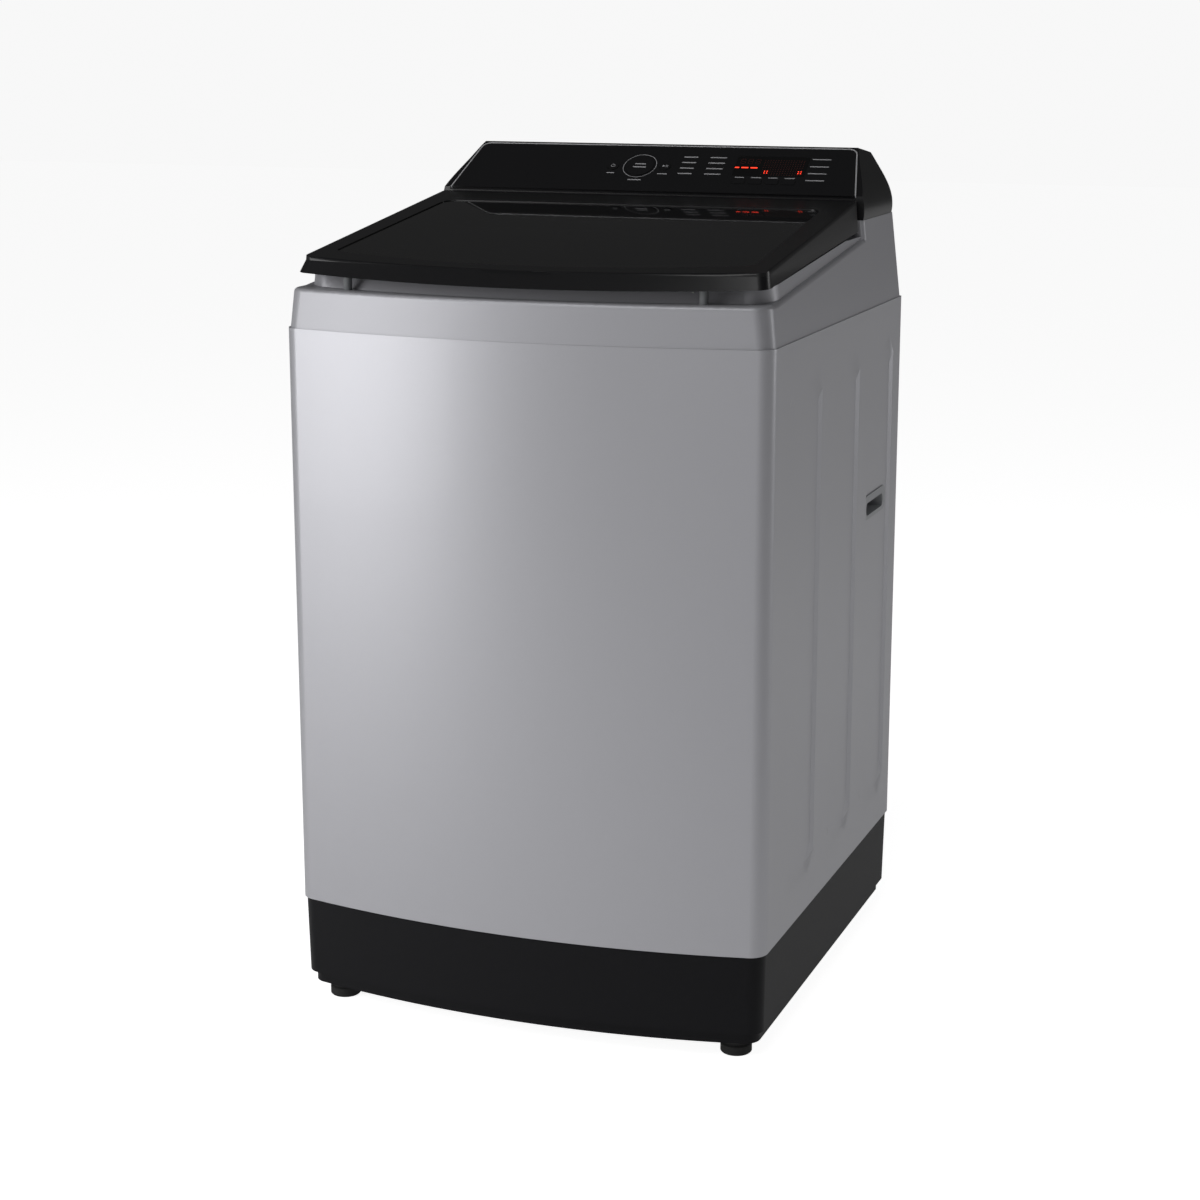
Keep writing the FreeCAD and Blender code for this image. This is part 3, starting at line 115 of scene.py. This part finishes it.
def put(tree, kind, inputs=None, **settings):
    """Add one shader node with its inputs and settings."""
    item = tree.nodes.new(kind)
    for key, value in settings.items():
        setattr(item, key, value)
    for key, value in (inputs or {}).items():
        item.inputs[key].default_value = value
    return item


def surface(name, colour, roughness, metallic=0.0, coat=0.0, grain=0.0, depth=0.0, spread=0.0,
            stretch=(1.0, 1.0, 1.0), tint=0.0, extra=None):
    """Procedural finish: a grain size and depth in millimetres roughen and tint an even base."""
    if name in bpy.data.materials:
        return bpy.data.materials[name]
    material = bpy.data.materials.new(name)
    material.use_nodes = True
    tree = material.node_tree
    shader = tree.nodes["Principled BSDF"]
    rgba = (*(linear(colour) if isinstance(colour, str) else colour), 1.0)
    shader.inputs["Base Color"].default_value = rgba
    shader.inputs["Roughness"].default_value = roughness
    shader.inputs["Metallic"].default_value = metallic
    shader.inputs["Coat Weight"].default_value = coat
    shader.inputs["Coat Roughness"].default_value = 0.08
    for key, value in (extra or {}).items():
        shader.inputs[key].default_value = value
    if not grain:
        return material
    place = put(tree, "ShaderNodeTexCoord")
    scale = put(tree, "ShaderNodeMapping", {"Scale": stretch})
    noise = put(tree, "ShaderNodeTexNoise", {"Scale": 1000.0 / grain, "Detail": 3.0})
    tree.links.new(place.outputs["Object"], scale.inputs["Vector"])
    tree.links.new(scale.outputs["Vector"], noise.inputs["Vector"])
    if spread:
        rough = put(tree, "ShaderNodeMapRange", {"To Min": roughness - spread, "To Max": roughness + spread})
        tree.links.new(noise.outputs["Fac"], rough.inputs["Value"])
        tree.links.new(rough.outputs["Result"], shader.inputs["Roughness"])
    if tint:
        mix = put(tree, "ShaderNodeMix", data_type="RGBA")
        mix.inputs["A"].default_value = tuple(c * (1 - tint) for c in rgba[:3]) + (1.0,)
        mix.inputs["B"].default_value = tuple(min(c * (1 + tint), 1.0) for c in rgba[:3]) + (1.0,)
        tree.links.new(noise.outputs["Fac"], mix.inputs["Factor"])
        tree.links.new(mix.outputs["Result"], shader.inputs["Base Color"])
    if depth:
        bump = put(tree, "ShaderNodeBump", {"Strength": 0.6, "Distance": depth * MM})
        tree.links.new(noise.outputs["Fac"], bump.inputs["Height"])
        tree.links.new(bump.outputs["Normal"], shader.inputs["Normal"])
    return material


def finishes():
    """Every finish of the machine, by the record's slot name."""
    colours = bpy.context.scene.washer_colours
    return {
        # Baked silver enamel with fine metal flake
        "silver_steel": surface("enamel_silver_flake", colours.body, 0.36, metallic=0.45, coat=0.12,
                                grain=0.5, depth=0.002, spread=0.05, tint=0.05),
        # Silver moulded plastic, satin
        "silver_plastic": surface("plastic_silver_satin", colours.cover, 0.40, metallic=0.30, coat=0.05,
                                  grain=0.6, depth=0.002, spread=0.05, tint=0.03),
        # Charcoal moulded plastic, finely textured
        "charcoal_plastic": surface("plastic_charcoal_textured", colours.skirt, 0.46, grain=0.7,
                                    depth=0.02, spread=0.06, extra={"Specular IOR Level": 0.15}),
        # Black moulded plastic, semi gloss
        "black_gloss": surface("plastic_black_semigloss", "121214", 0.33, coat=0.08, grain=0.9,
                               depth=0.004, spread=0.04),
        # Smoked tempered glass, polished
        "smoked_glass": surface("glass_smoked_polished", colours.glass, 0.03,
                                extra={"Transmission Weight": 0.92, "IOR": 1.45,
                                       "Specular IOR Level": 0.2}),
        # Silver plated plastic, satin
        "chrome_trim": surface("plastic_plated_silver_satin", "E2E2E4", 0.34, metallic=0.55, grain=2.0,
                               spread=0.04),
        # Dark polished acrylic over the display
        "display_lens": surface("acrylic_black_polished", "060607", 0.06, coat=0.6, grain=9.0, spread=0.02),
        # White moulded plastic, satin
        "white_plastic": surface("plastic_white_satin", "E4E4E0", 0.42, grain=1.2, depth=0.01, spread=0.05),
        # Grey moulded plastic, satin
        "grey_plastic": surface("plastic_grey_satin", "9FA1A4", 0.40, grain=1.2, depth=0.01, spread=0.05),
        # Zinc plated steel, bright
        "zinc_steel": surface("steel_zinc_plated", "B9BCBE", 0.32, metallic=1.0, grain=2.5, spread=0.08,
                              tint=0.06),
        # Stainless steel, brushed along the turn
        "stainless": surface("steel_stainless_brushed", "C4C5C6", 0.28, metallic=1.0, grain=0.5,
                             depth=0.003, spread=0.08, stretch=(0.04, 0.04, 1.0)),
        # Die cast aluminium, as cast
        "cast_aluminium": surface("aluminium_as_cast", "A9ABAC", 0.50, metallic=1.0, grain=0.9,
                                  depth=0.05, spread=0.08),
        # Black moulded rubber, matt
        "black_rubber": surface("rubber_black_matt", "1C1C1C", 0.78, grain=0.8, depth=0.03, spread=0.06),
        # Grey ribbed hose rubber, matt
        "soft_grey_rubber": surface("rubber_grey_matt", "6E7072", 0.70, grain=1.0, depth=0.03, spread=0.06),
        # Painted motor steel, semi gloss
        "motor_metal": surface("steel_black_painted", "34363A", 0.40, metallic=0.2, coat=0.2, grain=1.5,
                               depth=0.01, spread=0.08),
        # Flame proof board plastic, matt
        "board_plastic": surface("plastic_ivory_matt", "CFCBBE", 0.55, grain=1.0, depth=0.01, spread=0.05),
    }


# ---------------------------------------------------------------- shapes

def keep(bm, name, body, material, replaces=()):
    """Turn a bmesh into a finished piece that moves with its body."""
    bmesh.ops.recalc_face_normals(bm, faces=bm.faces)
    for edge in bm.edges:
        edge.smooth = edge.calc_face_angle(math.pi) < math.radians(24)
    for face in bm.faces:
        face.smooth = True
    mesh = bpy.data.meshes.new(name)
    bm.to_mesh(mesh)
    bm.free()
    mesh.materials.append(material)
    piece = bpy.data.objects.new(name, mesh)
    bpy.context.scene.collection.objects.link(piece)
    even = piece.modifiers.new("even_shading", "WEIGHTED_NORMAL")
    even.keep_sharp = True
    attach(piece, body)
    if replaces:
        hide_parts(*replaces)
    return piece


def cad_copy(node):
    """Merged copy of a CAD node with its flat faces joined up."""
    bm = bmesh.new()
    bm.from_mesh(frame["nodes"][node].data)
    bmesh.ops.remove_doubles(bm, verts=bm.verts, dist=2e-6)
    bmesh.ops.dissolve_limit(bm, angle_limit=math.radians(0.4), verts=bm.verts, edges=bm.edges,
                             use_dissolve_boundaries=False, delimit={"NORMAL"})
    return bm


def round_edges(bm, width, least=28.0, chosen=None, segments=2, clamp=True):
    """Round the sharp edges of a merged mesh that are long enough to take it."""
    edges = []
    for edge in bm.edges:
        if not edge.is_manifold or edge.calc_length() < 2.2 * width:
            continue
        if edge.calc_face_angle(0.0) < math.radians(least):
            continue
        if chosen is None or chosen(edge):
            edges.append(edge)
    bmesh.ops.bevel(bm, geom=edges, offset=width, offset_type="OFFSET", segments=segments, profile=0.5,
                    affect="EDGES", clamp_overlap=clamp, material=-1, loop_slide=True)


def finish_node(node, width=0.0, **options):
    """Finished piece that stands for one CAD node."""
    slot = SLOT_OF[node]
    bm = cad_copy(node)
    if width:
        round_edges(bm, width, **options)
    return keep(bm, node + "_skin", BODY_OF[node], finishes()[slot], (node,))


def block(bm, centre, size, matrix=None, edge=0.0):
    """Box of a given size added to a bmesh, with its edges bevelled when an edge width is given."""
    made = bmesh.ops.create_cube(bm, size=1.0)["verts"]
    bmesh.ops.scale(bm, vec=size, verts=made)
    bmesh.ops.translate(bm, vec=centre, verts=made)
    if edge:
        edges = list({e for v in made for e in v.link_edges})
        made = bmesh.ops.bevel(bm, geom=edges, offset=edge, offset_type="OFFSET", segments=2, profile=0.5,
                               affect="EDGES", clamp_overlap=True, material=-1)["verts"]
        made = list({v for v in made} | {v for f in {f for v in made for f in v.link_faces} for v in f.verts})
    if matrix is not None:
        bmesh.ops.transform(bm, matrix=matrix, verts=made)
    return made


def hoop(bm, centre, inner, outer, height, matrix, steps=64):
    """Flat ring of a given height, added to a bmesh."""
    before = set(bm.verts)
    rings = []
    for radius in (inner, outer):
        ring = bmesh.ops.create_circle(bm, cap_ends=False, radius=radius, segments=steps)["verts"]
        rings.extend({e for v in ring for e in v.link_edges})
    faces = bmesh.ops.bridge_loops(bm, edges=rings)["faces"]
    raised = bmesh.ops.extrude_face_region(bm, geom=faces)["geom"]
    top = [v for v in raised if isinstance(v, bmesh.types.BMVert)]
    bmesh.ops.translate(bm, vec=(0, 0, height), verts=top)
    made = [v for v in bm.verts if v not in before]
    bmesh.ops.translate(bm, vec=centre, verts=made)
    bmesh.ops.transform(bm, matrix=matrix, verts=made)


# ---------------------------------------------------------------- pieces

class WASHER_OT_cabinet(bpy.types.Operator):
    """Painted cabinet, back, base and grips"""

    bl_idname = "washer.cabinet"
    bl_label = "Cabinet"

    def execute(self, context):
        sizes = context.scene.washer_sizes
        for node in ("cabinet", "back_panel"):
            finish_node(node, sizes.sheet_edge, least=24.0)
        for node in ("base_frame", "bottom_guard", "handle_left", "handle_right"):
            finish_node(node, sizes.edge)
        for node in ("back_panel_screws", "power_cord_gland", "foot_locknuts"):
            finish_node(node, 0.0003)
        return {"FINISHED"}


class WASHER_OT_feet(bpy.types.Operator):
    """Levelling feet with ribbed rims"""

    bl_idname = "washer.feet"
    bl_label = "Feet"

    def execute(self, context):
        for node in ("foot_front_left", "foot_front_right", "foot_rear_left", "foot_rear_right"):
            finish_node(node, 0.0004)
        return {"FINISHED"}


class WASHER_OT_cover(bpy.types.Operator):
    """Moulded top cover with its lock and bumpers"""

    bl_idname = "washer.cover"
    bl_label = "Top cover"

    def execute(self, context):
        sizes = context.scene.washer_sizes
        top_cover_piece(sizes)
        finish_node("lid_lock", sizes.edge)
        finish_node("lid_bumpers", sizes.edge)
        return {"FINISHED"}


def top_cover_piece(sizes):
    """Top cover whose riser leans back under the lid in a shallow cove."""
    bm = cad_copy("top_cover")
    for vert in bm.verts:
        deck = 812.5 * MM + 0.079 * (vert.co.y + 234.5 * MM)
        if vert.co.y > -222.0 * MM or not deck - 3.2 * MM < vert.co.z < deck + 4.0 * MM:
            continue
        share = min(max((246.0 * MM - abs(vert.co.x)) / (30.0 * MM), 0.0), 1.0)
        vert.co.y += sizes.cove * share
    round_edges(bm, sizes.edge, least=30.0)
    keep(bm, "top_cover_skin", "casing", finishes()[SLOT_OF["top_cover"]],
         ("top_cover",))


class WASHER_OT_lid(bpy.types.Operator):
    """Lid with its smoked glass"""

    bl_idname = "washer.lid"
    bl_label = "Lid"

    def execute(self, context):
        sizes = context.scene.washer_sizes
        lid_frame_piece(sizes)
        for node in ("lid_inner_frame", "lid_strike"):
            finish_node(node, sizes.edge)
        finish_node("lid_glass", 0.0006)
        finish_node("lid_hinge_pins", 0.0003)
        return {"FINISHED"}


def lid_top(y):
    """Height of the lid's top face at a depth, in metres."""
    return 832.0 * MM + 0.130 * (y + 233.0 * MM)


def lid_frame_piece(sizes):
    """Lid frame with a broad rounding along its front lip and sides."""
    bm = cad_copy("lid_frame")

    def on_lip(edge):
        outside = True
        for vert in edge.verts:
            bow = -260.5 * MM + 0.00046 * (vert.co.x / MM) ** 2 * MM
            near = abs(vert.co.x) > 247.0 * MM or vert.co.y < bow + 6.0 * MM
            outside = outside and near and abs(vert.co.z - lid_top(vert.co.y)) < 0.3 * MM
        return outside and max(v.co.y for v in edge.verts) < 127.0 * MM

    round_edges(bm, sizes.lip, chosen=on_lip, segments=5, clamp=False)
    round_edges(bm, 0.4 * MM, least=50.0)
    keep(bm, "lid_frame_skin", "lid", finishes()[SLOT_OF["lid_frame"]], ("lid_frame",))


class WASHER_OT_controls(bpy.types.Operator):
    """Control housing, fascia, buttons and their prints"""

    bl_idname = "washer.controls"
    bl_label = "Controls"

    def execute(self, context):
        sizes = context.scene.washer_sizes
        finish_node("control_housing", sizes.edge)
        for node in ("control_fascia", "fascia_trim"):
            finish_node(node, 0.0003)
        for node in ("power_button", "cycle_button", "start_button", "level_key", "wash_key", "rinse_key",
                     "spin_key"):
            finish_node(node, 0.0004)
        for node in ("display_module", "control_board"):
            finish_node(node, 0.0003)
        fascia_prints(sizes.print_height)
        display_lights(sizes.print_height)
        return {"FINISHED"}


def fascia_prints(height):
    """Rings, icons and generic legend bars printed on the fascia."""
    bm = bmesh.new()

    def bar(u, v, wide, tall):
        block(bm, (u * MM, v * MM, 0.5 * height), (wide * MM, tall * MM, height), FASCIA)

    hoop(bm, (-22 * MM, 45 * MM, 0), 19.7 * MM, 20.3 * MM, height, FASCIA)
    for v in (62.5, 52.7, 42.7, 33.0):
        bar(36.5, v, 17.0, 1.7)
        bar(70.0, v, 20.0, 1.7)
    for v in (62.7, 49.8, 37.6, 25.4):
        bar(194.0, v, 22.0, 1.5)
    for u, wide in ((104, 11), (124, 12), (144, 11), (164, 12)):
        bar(u, 28.4, wide, 1.3)
    bar(-55, 31.5, 9.0, 1.5)
    bar(9, 31.5, 12.0, 1.5)
    bar(-22, 20.0, 16.0, 1.5)
    keep(bm, "fascia_prints", "casing", print_ink())
    icons = bmesh.new()
    lift = Matrix.Translation((0, 0, 0.5 * MM))
    place = FASCIA @ lift
    hoop(icons, (-55 * MM, 44 * MM, 0), 2.0 * MM, 2.5 * MM, height, place, steps=32)
    block(icons, (-55 * MM, 46.2 * MM, 0.5 * height), (0.6 * MM, 2.4 * MM, height), place)
    keep(icons, "power_icon", "power_button_body", print_ink())
    icons = bmesh.new()
    for u in (10.6, 12.2):
        block(icons, (u * MM, 45 * MM, 0.5 * height), (0.7 * MM, 3.8 * MM, height), place)
    made = bmesh.ops.create_cone(icons, cap_ends=True, segments=3, radius1=2.2 * MM, radius2=2.2 * MM,
                                 depth=height)["verts"]
    bmesh.ops.rotate(icons, cent=(0, 0, 0), matrix=Matrix.Rotation(math.radians(-90), 3, "Z"), verts=made)
    bmesh.ops.translate(icons, vec=(7.4 * MM, 45 * MM, 0.5 * height), verts=made)
    bmesh.ops.transform(icons, matrix=place, verts=made)
    keep(icons, "start_icon", "start_button_body", print_ink())
    lines = bmesh.new()
    for v, wide in ((48.0, 13.0), (42.5, 16.0)):
        block(lines, (-22 * MM, v * MM, 0.5 * height), (wide * MM, 1.8 * MM, height), place)
    keep(lines, "cycle_legend", "cycle_button_body", print_ink())


def print_ink():
    """Pale grey screen print ink, matt."""
    return surface("ink_pale_grey_matt", "A9A9AC", 0.55, grain=0.5, spread=0.05)


def display_lights(height):
    """Unlit digit segments and dots, and lit bars and dots behind the display lens."""
    lit = surface("led_red_lit", bpy.context.scene.washer_colours.display, 0.4,
                  extra={"Emission Color": (1.0, 0.05, 0.02, 1.0), "Emission Strength": 2.2})
    dim = surface("led_red_unlit", "3A1512", 0.4, grain=0.5, spread=0.05)
    bright = bmesh.new()
    faint = bmesh.new()
    low = -0.1 * MM

    def mark(bm, u, v, wide, tall):
        block(bm, (u * MM, v * MM, low + 0.5 * height), (wide * MM, tall * MM, height), FASCIA)

    for digit in range(3):
        u = 101.5 + 9.0 * digit
        for v in (53.0, 57.0, 61.0):
            mark(faint, u, v, 4.4, 0.7)
        for side in (-2.7, 2.7):
            for v in (55.0, 59.0):
                mark(faint, u + side, v, 0.7, 3.0)
    for step in range(3):
        mark(bright, 95.0 + 11.0 * step, 46.0, 8.0, 1.6)
    for row in range(9):
        for column in range(16):
            lamp = bright if (row in (1, 2) and column in (1, 2, 14, 15)) else faint
            mark(lamp, 128.0 + 3.1 * column, 34.0 + 3.2 * row, 1.2, 1.2)
    keep(bright, "display_lit", "casing", lit)
    keep(faint, "display_unlit", "casing", dim)


class WASHER_OT_dispenser(bpy.types.Operator):
    """Detergent drawer, its box and the inlet valve"""

    bl_idname = "washer.dispenser"
    bl_label = "Dispenser"

    def execute(self, context):
        sizes = context.scene.washer_sizes
        for node in ("dispenser_box", "detergent_drawer", "drawer_siphon", "inlet_valve", "level_sensor"):
            finish_node(node, sizes.edge)
        finish_node("pressure_hose")
        return {"FINISHED"}


class WASHER_OT_tub(bpy.types.Operator):
    """Outer tub, its cover and suspension"""

    bl_idname = "washer.tub"
    bl_label = "Tub"

    def execute(self, context):
        sizes = context.scene.washer_sizes
        for node in ("outer_tub", "tub_cover", "damper_cups", "rod_hangers"):
            finish_node(node, sizes.edge)
        finish_node("suspension_rods", 0.0003)
        finish_node("suspension_springs")
        for node in ("drain_valve", "drain_hose", "drain_outlet"):
            finish_node(node, 0.0005)
        return {"FINISHED"}


class WASHER_OT_basket(bpy.types.Operator):
    """Perforated basket with its ring, filters and pulsator"""

    bl_idname = "washer.basket"
    bl_label = "Basket"

    def execute(self, context):
        sizes = context.scene.washer_sizes
        perforated_basket(sizes)
        for node in ("balance_ring", "basket_hub", "lint_filters", "pulsator", "drive_shaft"):
            finish_node(node, sizes.edge)
        return {"FINISHED"}


def perforated_basket(sizes):
    """Beaded steel basket with rows of round holes."""
    columns = 72
    low, high = 262.0 * MM, 690.0 * MM
    rows = round((high - low) / sizes.hole_pitch)
    half = math.pi / columns
    radius = 226.0 * MM
    bm = bmesh.new()
    bmesh.ops.create_grid(bm, x_segments=1, y_segments=rows, size=0.5)
    bmesh.ops.scale(bm, vec=(2 * radius * math.sin(half), high - low, 1.0), verts=bm.verts)
    turn = Matrix.Rotation(math.radians(90), 4, "Z") @ Matrix.Rotation(math.radians(90), 4, "X")
    bmesh.ops.transform(bm, matrix=turn, verts=bm.verts)
    bmesh.ops.translate(bm, vec=AXIS + Vector((radius * math.cos(half), 0, (low + high) / 2)), verts=bm.verts)
    beads = [z * MM for z in (330.0, 332.0, 334.0, 336.0, 600.0, 602.0, 604.0, 606.0)]
    for z in beads:
        bmesh.ops.bisect_plane(bm, geom=bm.verts[:] + bm.edges[:] + bm.faces[:], dist=1e-6,
                               plane_co=(0, 0, z), plane_no=(0, 0, 1))
    for z in (beads[1], beads[2], beads[5], beads[6]):
        ridge = [v for v in bm.verts if abs(v.co.z - z) < 1e-5]
        bmesh.ops.translate(bm, vec=(2.3 * MM, 0, 0), verts=ridge)
    pitch = (high - low) / rows
    cells = [f for f in bm.faces if abs(f.calc_area() - pitch * 2 * radius * math.sin(half)) < 2e-6
             and 285.0 * MM < f.calc_center_median().z < 672.0 * MM]
    bmesh.ops.inset_individual(bm, faces=cells, thickness=(pitch - sizes.hole) / 2, use_even_offset=True)
    for face in cells:
        bmesh.ops.bevel(bm, geom=list(face.verts), offset=0.29 * sizes.hole, offset_type="OFFSET",
                        segments=1, profile=0.5, affect="VERTICES", material=-1)
    holes = [f for f in bm.faces if len(f.verts) == 8]
    bmesh.ops.delete(bm, geom=holes, context="FACES")
    bmesh.ops.spin(bm, geom=bm.verts[:] + bm.edges[:] + bm.faces[:], cent=AXIS, axis=(0, 0, 1),
                   angle=2 * math.pi * (columns - 1) / columns, steps=columns - 1, use_duplicate=True)
    bmesh.ops.remove_doubles(bm, verts=bm.verts, dist=2e-5)
    bmesh.ops.recalc_face_normals(bm, faces=bm.faces)
    bmesh.ops.solidify(bm, geom=bm.faces[:], thickness=1.2 * MM)
    floor = AXIS + Vector((0, 0, low))
    hoop(bm, floor, 25.0 * MM, 225.0 * MM, 1.2 * MM, Matrix.Identity(4), steps=96)
    keep(bm, "basket_skin", "drum", finishes()["stainless"], ("basket",))


class WASHER_OT_drive(bpy.types.Operator):
    """Motor, clutch, pulleys and belt"""

    bl_idname = "washer.drive"
    bl_label = "Drive"

    def execute(self, context):
        sizes = context.scene.washer_sizes
        for node in ("support_plate", "clutch_housing", "motor_body"):
            finish_node(node, sizes.edge)
        for node in ("driven_pulley", "motor_pulley", "drive_belt"):
            finish_node(node, 0.0004)
        return {"FINISHED"}


# ---------------------------------------------------------------- stage

def lamp(name, place, target, size, power, colour="FFFFFF"):
    """Large soft rectangular light aimed at a point."""
    data = bpy.data.lights.new(name, "AREA")
    data.shape = "RECTANGLE"
    data.size = size[0]
    data.size_y = size[1]
    data.energy = power
    data.color = linear(colour)
    item = bpy.data.objects.new(name, data)
    item.location = place
    item.rotation_euler = (Vector(target) - Vector(place)).to_track_quat("-Z", "Y").to_euler()
    bpy.context.scene.collection.objects.link(item)


def seen_and_shed(tree, seen, shed):
    """Strength that the camera sees, and the weaker strength that lights the machine."""
    path = put(tree, "ShaderNodeLightPath")
    split = put(tree, "ShaderNodeMapRange", {"To Min": shed, "To Max": seen})
    tree.links.new(path.outputs["Is Camera Ray"], split.inputs["Value"])
    return split.outputs["Result"]


def studio_world():
    """Pale backdrop that sheds only a dim light."""
    world = bpy.data.worlds.new("studio_world")
    world.use_nodes = True
    tree = world.node_tree
    backing = tree.nodes["Background"]
    backing.inputs["Color"].default_value = (*linear("FAFAFA"), 1.0)
    tree.links.new(seen_and_shed(tree, 0.98, 0.045), backing.inputs["Strength"])
    return world


def studio_floor():
    """Pale matt floor with an even glow."""
    bm = bmesh.new()
    bmesh.ops.create_grid(bm, x_segments=8, y_segments=8, size=14.0)
    mesh = bpy.data.meshes.new("studio_floor")
    bm.to_mesh(mesh)
    bm.free()
    finish = surface("floor_pale_matt", "E4E4E4", 0.8, grain=900.0, spread=0.04,
                     extra={"Emission Color": (*linear("FAFAFA"), 1.0)})
    tree = finish.node_tree
    shader = tree.nodes["Principled BSDF"]
    tree.links.new(seen_and_shed(tree, 0.95, 0.26), shader.inputs["Emission Strength"])
    mesh.materials.append(finish)
    floor = bpy.data.objects.new("studio_floor", mesh)
    bpy.context.scene.collection.objects.link(floor)


class WASHER_OT_stage(bpy.types.Operator):
    """Pale floor, soft studio light and camera"""

    bl_idname = "washer.stage"
    bl_label = "Stage"

    def execute(self, context):
        scene = context.scene
        studio_floor()
        scene.world = studio_world()
        lamp("key_left", (-1.75, -1.9, 1.15), (0, -0.1, 0.5), (1.4, 2.2), 31.0)
        lamp("front_fill", (0.9, -3.6, 1.3), (0, 0, 0.5), (2.4, 1.6), 7.0)
        lamp("side_graze", (2.4, 1.5, 1.2), (0.27, 0.0, 0.45), (0.6, 1.8), 9.0)
        lamp("top_soft", (-0.2, -1.5, 3.0), (0, 0, 0.8), (2.6, 1.2), 20.0)
        data = bpy.data.cameras.new("camera")
        data.sensor_width = 36.0
        data.lens = 73.78
        data.clip_end = 60.0
        camera = bpy.data.objects.new("camera", data)
        camera.location = (0.9558, -2.5730, 1.0770)
        camera.rotation_euler = (math.radians(90.0) - 0.2321, 0.0, 0.3579)
        scene.collection.objects.link(camera)
        scene.camera = camera
        scene.view_settings.view_transform = "Standard"
        return {"FINISHED"}


# ---------------------------------------------------------------- panel

OPERATORS = (WASHER_OT_cabinet, WASHER_OT_feet, WASHER_OT_cover, WASHER_OT_lid, WASHER_OT_controls,
             WASHER_OT_dispenser, WASHER_OT_tub, WASHER_OT_basket, WASHER_OT_drive, WASHER_OT_stage)


class WASHER_PT_panel(bpy.types.Panel):
    """Settings and pieces of the washing machine"""

    bl_label = "Washing machine"
    bl_idname = "WASHER_PT_panel"
    bl_space_type = "VIEW_3D"
    bl_region_type = "UI"
    bl_category = "Washing machine"

    def draw(self, context):
        column = self.layout.column()
        for group in (context.scene.washer_sizes, context.scene.washer_colours):
            for name in group.bl_rna.properties.keys():
                if name not in ("rna_type", "name"):
                    column.prop(group, name)
        for operator in OPERATORS:
            column.operator(operator.bl_idname)


CLASSES = (WASHER_PG_sizes, WASHER_PG_colours) + OPERATORS + (WASHER_PT_panel,)


def register():
    for item in CLASSES:
        bpy.utils.register_class(item)
    bpy.types.Scene.washer_sizes = bpy.props.PointerProperty(type=WASHER_PG_sizes)
    bpy.types.Scene.washer_colours = bpy.props.PointerProperty(type=WASHER_PG_colours)


def unregister():
    del bpy.types.Scene.washer_colours
    del bpy.types.Scene.washer_sizes
    for item in reversed(CLASSES):
        bpy.utils.unregister_class(item)


def main():
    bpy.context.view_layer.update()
    register()
    bpy.ops.washer.cabinet()
    bpy.ops.washer.feet()
    bpy.ops.washer.cover()
    bpy.ops.washer.lid()
    bpy.ops.washer.controls()
    bpy.ops.washer.dispenser()
    bpy.ops.washer.tub()
    bpy.ops.washer.basket()
    bpy.ops.washer.drive()
    bpy.ops.washer.stage()
    bpy.context.view_layer.update()


if __name__ == "__main__":
    main()
